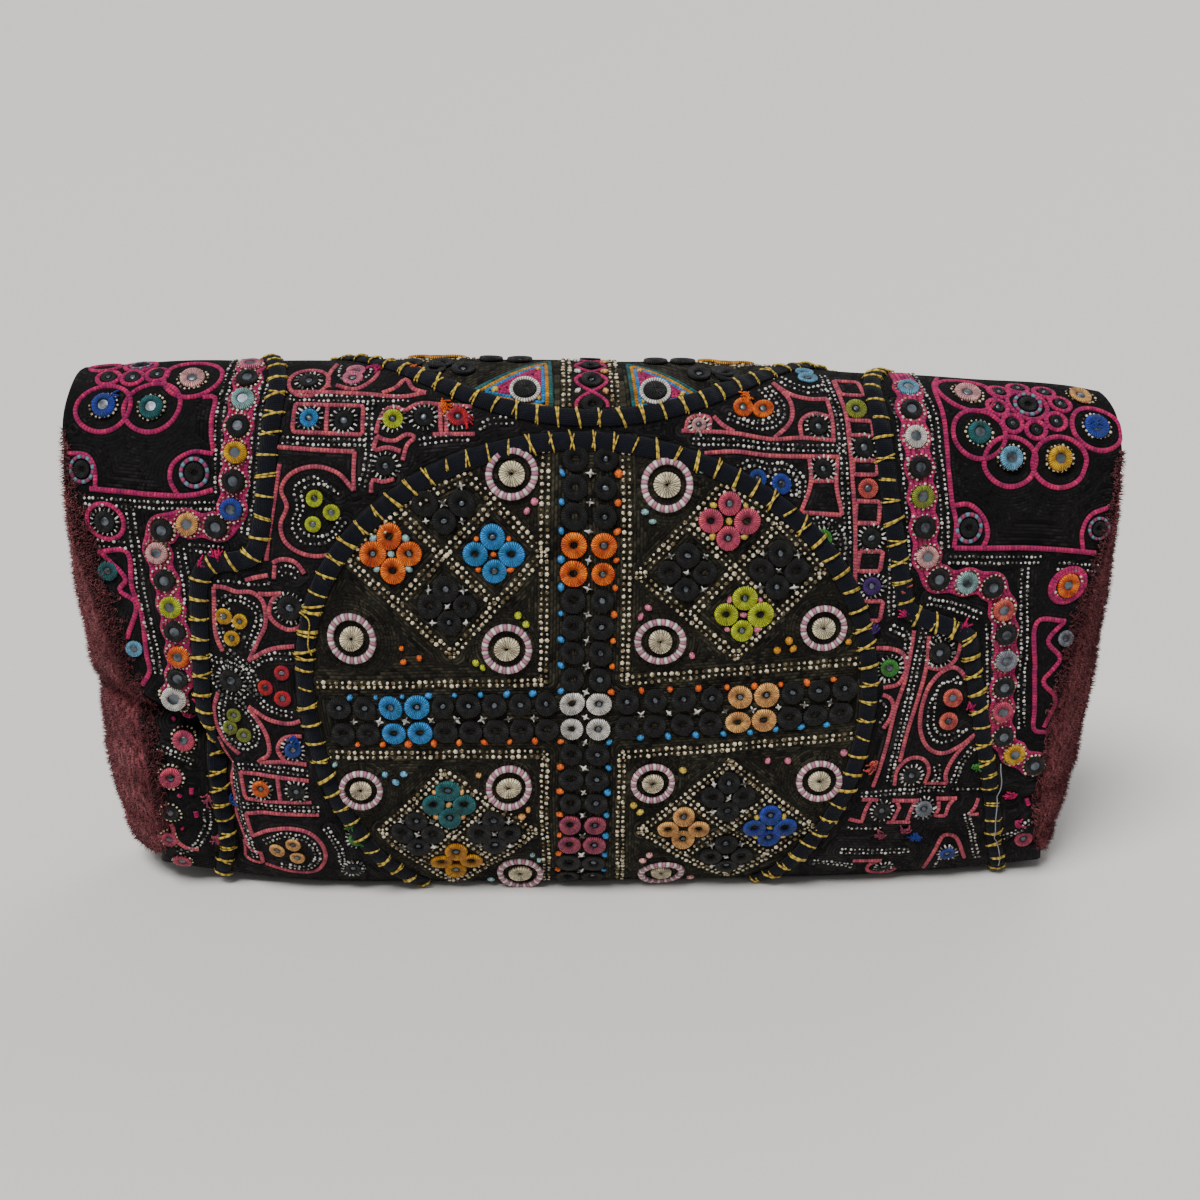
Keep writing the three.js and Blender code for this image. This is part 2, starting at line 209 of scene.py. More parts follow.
# Pressed lines on the cloth: first end, last end, depth, half width
TUCKS = [((-157, 68), (-139, 55), 3.0, 13.0), ((-139, 55), (-132, 8), 3.0, 13.0)]
CREASES = [
    ((-157, 66), (-138, 61), 4.2, 3.6), ((-138, 61), (-131, 48), 3.4, 3.4),
    ((-131, 48), (-131, 10), 2.6, 3.6), ((-157, 76), (-150, 74), -1.6, 4.0),
    ((-126, 58), (-124.5, 12), -1.3, 3.6),
    ((-157, 49), (-142, 46), 1.5, 3.0), ((-157, 20), (-136, 24), 1.6, 3.4),
    ((-157, 152), (-112, 151), 0.9, 3.0), ((106, 151), (157, 150), 1.1, 2.6),
    ((116, 41), (157, 33), 2.0, 4.0), ((138, 46), (143, 6), 1.2, 3.4), ((120, 20), (157, 14), 1.4, 3.4),
    ((-118, 33), (-70, 30), 0.8, 5.0), ((22, 24), (132, 23), 1.3, 4.0), ((-100, 12), (-20, 9), 0.8, 4.0),
]


def smooth_column(table, column, at):
    key, value = table[:, 0], table[:, column]
    slope = np.empty_like(value)
    slope[1:-1] = (value[2:] - value[:-2]) / (key[2:] - key[:-2])
    slope[0] = (value[1] - value[0]) / (key[1] - key[0])
    slope[-1] = (value[-1] - value[-2]) / (key[-1] - key[-2])
    place = np.clip(at, key[0], key[-1])
    i = np.clip(np.searchsorted(key, place) - 1, 0, len(key) - 2)
    span = key[i + 1] - key[i]
    t = (place - key[i]) / span
    rise = 3 * t**2 - 2 * t**3
    bend = (t**3 - 2 * t**2 + t) * slope[i] + (t**3 - t**2) * slope[i + 1]
    return (1 - rise) * value[i] + rise * value[i + 1] + bend * span


def powered(value, exponent):
    return np.sign(value) * np.abs(value) ** (2 / exponent)


def section(x, angle):
    top = smooth_column(SECTIONS, 1, x)
    base = np.maximum(smooth_column(SECTIONS, 2, x), 0)
    half = (top - base + FLATTENED) / 2
    sine = np.sin(angle)
    y = -smooth_column(SECTIONS, 3, x) * powered(np.cos(angle), FRONT_ROUND)
    lifted = np.where(sine > 0, powered(sine, TOP_ROUND), powered(sine, BASE_ROUND))
    return y, np.maximum(top - half + half * lifted, base)


ANGLES = np.radians(np.arange(-130, 250.01, 0.25))
MIDDLE_Y, MIDDLE_Z = section(np.zeros_like(ANGLES), ANGLES)
STEPS = np.hypot(np.diff(MIDDLE_Y), np.diff(MIDDLE_Z))
RUN = np.concatenate([[0], np.cumsum(STEPS)])
RUN -= np.interp(np.radians(HEM_ANGLE), ANGLES, RUN)
BACK_V = float(np.interp(np.radians(BACK_ANGLE), ANGLES, RUN))
BASE_V = float(np.interp(np.radians(BACK_ANGLE - 360), ANGLES, RUN))
print("cloth from hem to back:", round(BACK_V, 1), "mm; base ends at", round(BASE_V, 1), "mm")


# %% The cloth as a table of places
def smooth_cloth(u, v):
    angle = np.interp(v, RUN, ANGLES)
    x = u
    for _ in range(8):
        height = section(x, angle)[1]
        side = np.where(u < 0, smooth_column(SIDES, 1, height), smooth_column(SIDES, 2, height))
        x = u / HALF_WIDTH * side
    y, z = section(x, angle)
    return np.stack([x, y, z], axis=-1)


def pressed(u, v, line):
    first, last, depth, half_width = line
    du, dv = last[0] - first[0], last[1] - first[1]
    t = np.clip(((u - first[0]) * du + (v - first[1]) * dv) / (du * du + dv * dv), 0, 1)
    away = np.hypot(u - first[0] - t * du, v - first[1] - t * dv)
    return depth * np.exp(-((away / half_width) ** 2))


def unit(vectors):
    return vectors / np.maximum(np.linalg.norm(vectors, axis=-1, keepdims=True), 1e-12)


U_TABLE = np.arange(-160.0, 161.0)
V_TABLE = np.arange(np.floor(BASE_V) - 2, np.ceil(BACK_V) + 3)
GRID_U, GRID_V = np.meshgrid(U_TABLE, V_TABLE)
PLACES = smooth_cloth(GRID_U, GRID_V)
FACING = unit(np.cross(np.gradient(PLACES, axis=1), np.gradient(PLACES, axis=0)))
PRESSED = np.max([pressed(GRID_U, GRID_V, line) for line in TUCKS], axis=0)
PRESSED += np.sum([pressed(GRID_U, GRID_V, line) for line in CREASES], axis=0)
RIPPLE = 0.45 * np.sin(GRID_U / 19 + GRID_V / 33) * np.sin(GRID_V / 23 - GRID_U / 47)
RIPPLE += 0.25 * np.sin(GRID_U / 8.5 - GRID_V / 14 + 1.3) * np.sin(GRID_V / 11 + GRID_U / 21)
FREE = np.clip((PLACES[..., 2] - 1) / 12, 0, 1)
PLACES += FACING * (FREE * (RIPPLE - PRESSED))[..., None]
ACROSS = unit(np.gradient(PLACES, axis=1))
UPWARD = unit(np.gradient(PLACES, axis=0))
FACING = unit(np.cross(ACROSS, UPWARD))


def read_table(table, u, v):
    x = np.clip(np.asarray(u, float) - U_TABLE[0], 0, len(U_TABLE) - 1.001)
    y = np.clip(np.asarray(v, float) - V_TABLE[0], 0, len(V_TABLE) - 1.001)
    i, j = y.astype(int), x.astype(int)
    s, t = (x - j)[..., None], (y - i)[..., None]
    low = table[i, j] * (1 - s) + table[i, j + 1] * s
    high = table[i + 1, j] * (1 - s) + table[i + 1, j + 1] * s
    return low * (1 - t) + high * t


def on_cloth(u, v, lift=0.0, rolled=True):
    """Points in metres, lift millimetres above the embroidery; past an edge the cloth turns under."""
    u, v, lift = np.broadcast_arrays(np.asarray(u, float), np.asarray(v, float), np.asarray(lift, float))
    inside_u = np.clip(u, -HALF_WIDTH, HALF_WIDTH) if rolled else u
    inside_v = np.clip(v, 0, BACK_V) if rolled else v
    place = read_table(PLACES, inside_u, inside_v)
    facing = unit(read_table(FACING, inside_u, inside_v))
    turn_u, turn_v = (u - inside_u) / EDGE_ROLL, (v - inside_v) / EDGE_ROLL
    turn = np.minimum(np.hypot(turn_u, turn_v), np.pi)
    outward = read_table(ACROSS, inside_u, inside_v) * turn_u[..., None]
    outward = unit(outward + read_table(UPWARD, inside_u, inside_v) * turn_v[..., None])
    reach = (EDGE_ROLL + lift)[..., None]
    bent = outward * np.sin(turn)[..., None] * reach
    return (place + bent + facing * (np.cos(turn)[..., None] * reach - EDGE_ROLL)) * MM


print("cloth table:", PLACES.shape[:2], "top of the fold at", round(float(PLACES[..., 2].max()), 1), "mm")

# %% [markdown]
# ## Camera, floor and light
# The bag is seen from the front and from about twenty degrees above, close enough for the top
# to look wider than the base. One broad light from above and in front gives the gentle shading
# from the bright fold down to the darker base. It comes from far off, so that the pale floor is
# lit evenly, and a weak one from behind draws the edge of the fold.

# %% Camera and studio
TARGET = Vector((1.2, 0.0, 92.0)) * MM
DISTANCE = 560 * MM
ELEVATION = np.radians(22.0)
AZIMUTH = np.radians(-1.5)
LENS = 52.6
BACKWARD = Vector((
    np.sin(AZIMUTH) * np.cos(ELEVATION), -np.cos(AZIMUTH) * np.cos(ELEVATION), np.sin(ELEVATION),
))
camera = bpy.data.objects.new("camera", bpy.data.cameras.new("camera"))
camera.data.lens = LENS
camera.data.sensor_width = 36.0
camera.data.clip_start = 0.01
camera.location = TARGET + BACKWARD * DISTANCE
camera.rotation_euler = BACKWARD.to_track_quat("Z", "Y").to_euler()
bpy.context.scene.collection.objects.link(camera)
bpy.context.scene.camera = camera


def soft_light(name, comes_from, strength, spread):
    light = bpy.data.objects.new(name, bpy.data.lights.new(name, "SUN"))
    light.data.energy = strength
    light.data.angle = np.radians(spread)
    light.rotation_euler = Vector(comes_from).to_track_quat("Z", "Y").to_euler()
    bpy.context.scene.collection.objects.link(light)


soft_light("light_above", (-0.3, -0.48, 1.1), 3.4, 24)
soft_light("light_behind", (0.5, 0.9, 1.0), 0.6, 30)
world = bpy.data.worlds.new("studio")
bpy.context.scene.world = world
world.use_nodes = True
world.node_tree.nodes["Background"].inputs["Color"].default_value = (0.93, 0.94, 0.96, 1)
world.node_tree.nodes["Background"].inputs["Strength"].default_value = 0.32
print("camera", round(DISTANCE, 2), "m away, lens", LENS, "mm")

# %% [markdown]
# ## Small tools for nodes, meshes and pieces
# Materials and Geometry Nodes are both trees of nodes, so one helper adds a node and joins its
# inputs. Others make a mesh or a sheet from arrays, and the last makes a finished piece ride on
# the bag's only body and flattens whatever would reach below the table.

# %% Helpers for nodes
def add_node(tree, kind, inputs=None, **settings):
    node = tree.nodes.new(kind)
    for key, value in settings.items():
        setattr(node, key, value)
    for key, value in (inputs or {}).items():
        if isinstance(value, bpy.types.NodeSocket):
            tree.links.new(value, node.inputs[key])
        else:
            node.inputs[key].default_value = value
    return node


def reckon(tree, operation, first, second=0.5, clamp=False):
    values = {0: first, 1: second}
    return add_node(tree, "ShaderNodeMath", values, operation=operation, use_clamp=clamp).outputs[0]


def rescale(tree, value, start=(0.0, 1.0), end=(0.0, 1.0)):
    """The value, with the range from start stretched to the range of end."""
    return add_node(tree, "ShaderNodeMapRange", {
        "Value": value, "From Min": start[0], "From Max": start[1], "To Min": end[0], "To Max": end[1],
    }).outputs["Result"]


def noise(tree, place, scale, detail):
    values = {"Vector": place, "Scale": scale, "Detail": detail}
    return add_node(tree, "ShaderNodeTexNoise", values).outputs["Fac"]


def mixed(tree, share, first, second, blend="MIX"):
    values = {0: share, 6: first, 7: second}
    return add_node(tree, "ShaderNodeMix", values, data_type="RGBA", blend_type=blend).outputs[2]


def object_place(tree):
    return add_node(tree, "ShaderNodeTexCoord").outputs["Object"]


# %% Helpers for meshes and pieces
def make_mesh(name, points, faces=(), edges=()):
    mesh = bpy.data.meshes.new(name)
    mesh.from_pydata([tuple(point) for point in points], edges, faces)
    mesh.polygons.foreach_set("use_smooth", [True] * len(mesh.polygons))
    mesh.update()
    return mesh


def make_object(name, data):
    made = bpy.data.objects.new(name, data)
    bpy.context.scene.collection.objects.link(made)
    return made


def store(mesh, name, kind, values, domain="POINT"):
    layer = mesh.attributes.new(name, kind, domain)
    field = {"FLOAT": "value", "FLOAT_VECTOR": "vector", "FLOAT_COLOR": "color", "FLOAT2": "vector"}[kind]
    layer.data.foreach_set(field, np.asarray(values, np.float32).ravel())


def grid_quads(down, across):
    """The four corners of every cell in a grid of points, row by row."""
    first = (np.arange(down - 1)[:, None] * across + np.arange(across - 1)).ravel()
    return np.stack([first, first + 1, first + across + 1, first + across], axis=-1)


def make_sheet(name, points, quads, finish, flat=None, **lengths):
    """A sheet of cloth; flat gives its UV map, and lengths are stored for its stitching."""
    mesh = make_mesh(name, points, quads.tolist())
    if flat is not None:
        store(mesh, "UVMap", "FLOAT2", flat[quads.ravel()], "CORNER")
    for label, values in lengths.items():
        store(mesh, label, "FLOAT", values)
    mesh.materials.append(finish)
    return make_object(name, mesh)


def colour(code):
    """A hexadecimal screen colour as linear red, green, blue and alpha."""
    parts = np.array([int(code[i:i + 2], 16) for i in (0, 2, 4)]) / 255
    linear = np.where(parts > 0.04045, ((parts + 0.055) / 1.055) ** 2.4, parts / 12.92)
    return (*map(float, linear), 1.0)


def finish_piece(piece, slot, *nodes):
    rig.ride(piece, "root")
    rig.slot(piece, slot)
    if nodes:
        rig.replaces(piece, *nodes)
    places = np.empty(3 * len(piece.data.vertices), np.float32)
    piece.data.vertices.foreach_get("co", places)
    places[2::3] = np.maximum(places[2::3], 0)
    piece.data.vertices.foreach_set("co", places)
    piece.data.update()
    piece.data.calc_loop_triangles()
    print(f"{piece.name}: {len(piece.data.loop_triangles)} triangles")
    return piece


# %% Floor
FLOOR_HALF = 40
FLOOR_GRAIN = 3.0 / (2 * FLOOR_HALF)


def new_material(name, roughness, sheen=0.0, metallic=0.0, shine=0.1):
    made = bpy.data.materials.new(name)
    made.use_nodes = True
    shader = made.node_tree.nodes["Principled BSDF"]
    shader.inputs["Roughness"].default_value = roughness
    shader.inputs["Metallic"].default_value = metallic
    shader.inputs["Sheen Weight"].default_value = sheen
    shader.inputs["Specular IOR Level"].default_value = shine
    return made, made.node_tree, shader


floor_corners = [(FLOOR_HALF * x, FLOOR_HALF * y, 0) for x, y in ((-1, -1), (1, -1), (1, 1), (-1, 1))]
floor = make_object("floor", make_mesh("floor", floor_corners, [(0, 1, 2, 3)]))
floor_paint, tree, shader = new_material("floor_paint", 0.66, shine=0.5)
floor_tone = rescale(tree, noise(tree, object_place(tree), FLOOR_GRAIN, detail=2.0), end=(0.62, 0.7))
tree.links.new(floor_tone, shader.inputs["Roughness"])
shader.inputs["Base Color"].default_value = colour("e4e1dc")
floor.data.materials.append(floor_paint)
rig.stage(floor)
print("floor:", 2 * FLOOR_HALF, "m wide")

# %% [markdown]
# ## Thread colours
# The embroiderers used a small set of bright cottons on black. Each gets a plain name, so that
# the charts further down read like a maker's notes.

# %% Palette
THREADS = {name: colour(code) for name, code in {
    "black": "0d0b0c", "hot_pink": "bd2766", "salmon": "c25566", "cream": "dccdaa", "white": "e2ddd4",
    "orange": "f0690f", "blue": "2f8bd0", "light_blue": "6fb0d2", "royal": "24419f", "teal": "1d6468",
    "lime": "bcc922", "mustard": "cf8a17", "straw": "d2b246", "peach": "ebaa62", "pink": "db7591",
    "mauve": "a2445e", "red": "c21d35", "green": "3f8f35", "purple": "42206e", "olive": "87902d",
    "grey": "858a93", "yellow": "e0a818", "coral": "d4584f", "magenta": "bd1561",
    "aqua": "8fb9b8", "shell": "e0a3a0", "rose": "c94a68",
}.items()}
print(len(THREADS), "thread colours")

# %% [markdown]
# ## Finishes that several materials share
# Three effects come back again and again: rows of chain stitch, thread wrapped in even turns,
# and the slight fading of old cotton. Each is built once as a node group. Chain stitch reads
# two lengths stored on the cloth, row (distance from the nearest drawn line) and run (length
# along it), which is how the rows on the real cloth follow the shapes.

# %% Tools for node groups
SOCKETS = {
    "Color": "Color", "Place": "Vector", "Geometry": "Geometry", "Seed": "Int", "Shape": "Object",
    "Finish": "Material",
}


def new_group(kind, name, inputs, outputs):
    """A tree with named inputs and outputs; a socket is a plain number unless its name says otherwise."""
    tree = bpy.data.node_groups.new(name, kind)
    for way, labels in (("INPUT", inputs), ("OUTPUT", outputs)):
        for label in labels:
            socket = "NodeSocket" + SOCKETS.get(label, "Float")
            tree.interface.new_socket(label, in_out=way, socket_type=socket)
    return tree, tree.nodes.new("NodeGroupInput").outputs, tree.nodes.new("NodeGroupOutput").inputs


def ridge(tree, count):
    """One rounded ridge for each whole number of the count."""
    wave = reckon(tree, "SINE", reckon(tree, "MULTIPLY", count, np.pi))
    return reckon(tree, "ABSOLUTE", wave)


# %% Node group: rows of chain stitch
chain_rows, given, result = new_group(
    "ShaderNodeTree", "chain_rows", ["Row", "Run", "Row Width", "Stitch Length"], ["Height", "Shade"],
)
tree = chain_rows
row_count = reckon(tree, "DIVIDE", given["Row"], given["Row Width"])
row_number = reckon(tree, "FLOOR", row_count)
shifted = reckon(tree, "MULTIPLY", row_number, 0.41)
stitch_count = reckon(tree, "ADD", reckon(tree, "DIVIDE", given["Run"], given["Stitch Length"]), shifted)
stitch_place = add_node(tree, "ShaderNodeCombineXYZ", {
    "X": row_number, "Y": reckon(tree, "FLOOR", stitch_count),
})
stitch_shade = add_node(tree, "ShaderNodeTexWhiteNoise", {
    "Vector": stitch_place.outputs[0],
}, noise_dimensions="2D")
row_height = reckon(tree, "MULTIPLY", reckon(tree, "POWER", ridge(tree, row_count), 0.6), 0.6)
stitch_height = reckon(tree, "MULTIPLY", ridge(tree, stitch_count), 0.4)
tree.links.new(reckon(tree, "ADD", row_height, stitch_height), result["Height"])
tree.links.new(stitch_shade.outputs["Value"], result["Shade"])
print("shader group:", chain_rows.name)

# %% Node group: thread in even turns
wrapped_turns, given, result = new_group(
    "ShaderNodeTree", "wrapped_turns", ["Turns", "Sharpness"], ["Height", "Gap", "Shade"],
)
tree = wrapped_turns
turn_height = reckon(tree, "POWER", ridge(tree, given["Turns"]), given["Sharpness"])
turn_number = reckon(tree, "FLOOR", given["Turns"])
turn_shade = add_node(tree, "ShaderNodeTexWhiteNoise", {"W": turn_number}, noise_dimensions="1D")
tree.links.new(turn_height, result["Height"])
tree.links.new(reckon(tree, "SUBTRACT", 1.0, turn_height, clamp=True), result["Gap"])
tree.links.new(turn_shade.outputs["Value"], result["Shade"])
print("shader group:", wrapped_turns.name)

# %% Node group: faded cotton
faded_cotton, given, result = new_group(
    "ShaderNodeTree", "faded_cotton", ["Color", "Place", "Amount", "Patch Size"], ["Color", "Fluff"],
)
tree = faded_cotton
fade = noise(tree, given["Place"], reckon(tree, "DIVIDE", 1.0, given["Patch Size"]), detail=3.0)
fluff = noise(tree, given["Place"], scale=2600.0, detail=2.0)
light = rescale(tree, fade, start=(0.3, 0.7))
spread = reckon(tree, "MULTIPLY", reckon(tree, "SUBTRACT", light, 0.5), given["Amount"])
grain = reckon(tree, "MULTIPLY", reckon(tree, "SUBTRACT", fluff, 0.5), given["Amount"])
brighter = reckon(tree, "ADD", reckon(tree, "ADD", spread, grain), 1.0)
warmer = reckon(tree, "ADD", reckon(tree, "MULTIPLY", spread, 0.03), 0.5)
aged = add_node(tree, "ShaderNodeHueSaturation", {"Hue": warmer, "Color": given["Color"], "Value": brighter})
tree.links.new(aged.outputs["Color"], result["Color"])
tree.links.new(fluff, result["Fluff"])
print("shader group:", faded_cotton.name)


# %% Material tools
def attribute(tree, name):
    return add_node(tree, "ShaderNodeAttribute", attribute_name=name).outputs


def uv_parts(tree):
    uv = add_node(tree, "ShaderNodeUVMap").outputs["UV"]
    return add_node(tree, "ShaderNodeSeparateXYZ", {0: uv}).outputs


def use_group(tree, group, inputs):
    return add_node(tree, "ShaderNodeGroup", inputs, node_tree=group).outputs


def faded(tree, base, amount, patch_size):
    return use_group(tree, faded_cotton, {
        "Color": base, "Place": object_place(tree), "Amount": amount, "Patch Size": patch_size,
    })


def turns_of(tree, count, sharpness):
    return use_group(tree, wrapped_turns, {"Turns": count, "Sharpness": sharpness})


def toned(tree, wrapped, cotton, darkest, lightest):
    """Cotton whose turns differ a little in tone."""
    tone = rescale(tree, wrapped["Shade"], end=(darkest, lightest))
    return mixed(tree, 1.0, cotton["Color"], tone, "MULTIPLY")


def with_shaded_gaps(tree, wrapped, thread, share, gap_shade):
    # Painted shade: the gaps between turns of thread are mixed toward a near-black colour.
    return mixed(tree, reckon(tree, "MULTIPLY", wrapped["Gap"], share), thread, gap_shade)


def darkened(base, share):
    return tuple(share * part for part in base[:3]) + (1.0,)


def dress(tree, shader, base, height, depth):
    """Join a colour to the shader, and raise its surface by depth millimetres."""
    tree.links.new(base, shader.inputs["Base Color"])
    bump = add_node(tree, "ShaderNodeBump", {"Height": height, "Distance": depth * MM, "Strength": 1.0})
    tree.links.new(bump.outputs["Normal"], shader.inputs["Normal"])


# %% [markdown]
# ## Materials for cloth and thread
# Grounds are dense chain stitch. Rings are thread wrapped over an edge, so their ridges run
# round the UV map. Couched cords are held down by small crossing stitches, one after the
# other along their run. All of them take a little fading from the same cotton group. The low
# places between rows, turns, stitches and woven threads are darkened as painted shade, and the
# outer rims of the rings are lightened as a painted highlight.


# %% Stitched grounds
def stitched_ground(name, dark, light, row_width, amount):
    made, tree, shader = new_material(name, 0.86, sheen=0.02)
    rows = use_group(tree, chain_rows, {
        "Row": attribute(tree, "row")["Fac"], "Run": attribute(tree, "run")["Fac"],
        "Row Width": row_width, "Stitch Length": 2.2,
    })
    stitch = mixed(tree, rows["Shade"], dark, light)
    # Painted shade: the low places between rows of chain stitch are mixed toward a darker ground colour.
    cloth = mixed(tree, rows["Height"], darkened(dark, 0.3), stitch)
    cotton = faded(tree, cloth, amount, patch_size=0.012)
    dress(tree, shader, cotton["Color"], rows["Height"], depth=0.5)
    return made


field_ground = stitched_ground("field_ground", colour("080707"), colour("232021"), row_width=1.1, amount=0.9)
yoke_ground = stitched_ground("yoke_ground", colour("0a0909"), colour("282425"), row_width=1.1, amount=0.9)
medallion_ground = stitched_ground(
    "medallion_ground", colour("0b0b09"), colour("3b372c"), row_width=1.0, amount=1.2,
)
garland_ground = stitched_ground(
    "garland_ground", colour("8a1c48"), colour("c73f74"), row_width=1.3, amount=0.7,
)
print("materials with the grounds:", len(bpy.data.materials))


# %% Wrapped and couched thread
def wrapped_thread(name, turns, fade, roughness=0.62, rim=0.3):
    made, tree, shader = new_material(name, roughness, sheen=0.05, shine=0.2)
    around = uv_parts(tree)
    wrapped = turns_of(tree, reckon(tree, "MULTIPLY", around["X"], turns), sharpness=0.8)
    cotton = faded(tree, attribute(tree, "thread")["Color"], fade, patch_size=0.003)
    # Painted highlight: the outer rim of each ring is lightened by the rim share.
    rim_highlight = rescale(tree, around["Y"], start=(0.3, 0.36), end=(1.0 + rim, 1.0))
    edged = add_node(tree, "ShaderNodeHueSaturation", {
        "Color": toned(tree, wrapped, cotton, darkest=0.68, lightest=1.1), "Value": rim_highlight,
    })
    # Painted shade in the gaps between turns of thread.
    thread = with_shaded_gaps(tree, wrapped, edged.outputs["Color"], share=0.65, gap_shade=(0.01, 0.008, 0.008, 1))
    dress(tree, shader, thread, wrapped["Height"], depth=0.45)
    return made


def couched_thread(name, stitch):
    made, tree, shader = new_material(name, 0.8, sheen=0.08)
    wrapped = turns_of(tree, reckon(tree, "DIVIDE", attribute(tree, "run")["Fac"], stitch), sharpness=0.5)
    cotton = faded(tree, attribute(tree, "thread")["Color"], amount=0.9, patch_size=0.0025)
    strands = toned(tree, wrapped, cotton, darkest=0.66, lightest=1.14)
    fuzz = reckon(tree, "MULTIPLY", reckon(tree, "MULTIPLY", cotton["Fluff"], cotton["Fluff"]), 3.0)
    # Painted shade in the gaps between the crossing stitches.
    thread = with_shaded_gaps(tree, wrapped, strands, share=0.6, gap_shade=(0.012, 0.006, 0.008, 1))
    dress(tree, shader, thread, reckon(tree, "ADD", wrapped["Height"], fuzz), depth=0.25)
    return made


ring_thread = wrapped_thread("ring_thread", turns=34, fade=0.8, roughness=0.5)
couched_cord = couched_thread("couched_cord", stitch=1.0)
stitch_thread = wrapped_thread("stitch_thread", turns=5, fade=0.5, roughness=0.55, rim=0.0)
print("materials with the threads:", len(bpy.data.materials))


# %% Woven cloth
def woven_cloth(name, base, thread_size, roughness=0.88):
    made, tree, shader = new_material(name, roughness, sheen=0.06)
    uv = uv_parts(tree)
    warp, weft = (
        turns_of(tree, reckon(tree, "DIVIDE", uv[axis], thread_size), sharpness=0.6) for axis in "XY"
    )
    weave = reckon(tree, "MULTIPLY", warp["Height"], weft["Height"])
    cotton = faded(tree, base, amount=0.6, patch_size=0.015)
    # Painted shade: the low places between warp and weft are mixed toward a darker cloth colour.
    cloth = mixed(tree, weave, darkened(base, 0.35), cotton["Color"])
    creased = reckon(tree, "MULTIPLY", noise(tree, object_place(tree), scale=330.0, detail=4.0), 5.0)
    dress(tree, shader, cloth, reckon(tree, "ADD", weave, creased), depth=0.25)
    return made


tape_cloth = woven_cloth("tape_cloth", colour("10131f"), thread_size=0.55, roughness=0.8)
lining_cloth = woven_cloth("lining_cloth", colour("141316"), thread_size=0.7)
print("materials with the woven cloths:", len(bpy.data.materials))

# %% [markdown]
# ## Beads, mirrors and pile
# The pale dots are small cream stitches with the shine of seed beads. The mirrors are thin
# blown glass with a worn silver back, so they are cloudy and uneven, and their silver is kept
# dark overall as a painted reflection of dark surroundings. The side walls are a maroon wool
# pile, with painted shade in broad patches where the nap leans away from the light.


# %% Bead, mirror and pile materials
def seed_bead(name, pale, dull):
    made, tree, shader = new_material(name, 0.38, shine=0.35)
    grains = noise(tree, object_place(tree), scale=620.0, detail=1.0)
    tree.links.new(rescale(tree, grains, end=(0.25, 0.6)), shader.inputs["Roughness"])
    base = mixed(tree, rescale(tree, grains, start=(0.42, 0.6)), dull, pale)
    dress(tree, shader, base, grains, depth=0.15)
    return made


def cloudy_mirror():
    made, tree, shader = new_material("cloudy_mirror", 0.3, metallic=0.55, shine=0.5)
    clouds = noise(tree, object_place(tree), scale=420.0, detail=4.0)
    # Painted reflection: the silver is kept dark overall, as if the mirrors reflected dark surroundings; its cloudy
    # patches are wear of the silver back.
    silver = mixed(tree, rescale(tree, clouds, start=(0.42, 0.68)), colour("5f666e"), colour("17191c"))
    tree.links.new(rescale(tree, clouds, end=(0.22, 0.55)), shader.inputs["Roughness"])
    dress(tree, shader, silver, clouds, depth=0.12)
    return made


def wool_pile():
    made, tree, shader = new_material("wool_pile", 0.92, sheen=0.08)
    stretched = add_node(tree, "ShaderNodeMapping", {"Vector": object_place(tree), "Scale": (1.0, 1.0, 0.3)})
    tufts = noise(tree, stretched.outputs["Vector"], scale=900.0, detail=3.0)
    nap = noise(tree, object_place(tree), scale=55.0, detail=3.0)
    wool = mixed(tree, rescale(tree, tufts, start=(0.35, 0.66)), colour("2e1216"), colour("b26268"))
    # Painted shade: broad patches of pile are darker where the nap leans away from the light.
    worn = mixed(tree, rescale(tree, nap, start=(0.35, 0.8)), wool, colour("5a262c"))
    dress(tree, shader, worn, tufts, depth=0.9)
    return made


cream_bead = seed_bead("cream_bead", colour("e0d3b4"), colour("57472a"))
silver_bead = seed_bead("silver_bead", colour("d2cfc8"), colour("3c3a36"))
mirror_glass = cloudy_mirror()
pile_wool = wool_pile()
print("materials in all:", len(bpy.data.materials))

# %% [markdown]
# ## Geometry Nodes for what repeats
# Beads, crossing stitches and rays follow lines; rings sit on single places; cords run along
# lines; wool fibres cover a wall. One tree does each of these. The lines and places carry an
# up direction from the cloth, so that every shape lies flat against it, and each tree ends by
# making its instances real and giving them their finish.


# %% Tools for the trees
def geometry_tree(name, *inputs):
    return new_group("GeometryNodeTree", name, ["Geometry", *inputs], ["Geometry"])


def random_between(tree, low, high, seed):
    return add_node(tree, "FunctionNodeRandomValue", {2: low, 3: high, 8: seed}, data_type="FLOAT").outputs[1]


def random_vector(tree, low, high, seed):
    values = {0: low, 1: high, 8: seed}
    return add_node(tree, "FunctionNodeRandomValue", values, data_type="FLOAT_VECTOR").outputs[0]


def named(tree, name, kind):
    return add_node(tree, "GeometryNodeInputNamedAttribute", {"Name": name}, data_type=kind).outputs[0]


def even_line(tree, geometry, step):
    lines = add_node(tree, "GeometryNodeMeshToCurve", {"Mesh": geometry}).outputs[0]
    values = {"Curve": lines, "Length": step}
    return add_node(tree, "GeometryNodeResampleCurve", values, mode="LENGTH").outputs[0]


def turned_by(tree, rotation, turn):
    values = {"Rotation": rotation, "Rotate By": turn}
    return add_node(tree, "FunctionNodeRotateRotation", values, rotation_space="LOCAL").outputs[0]


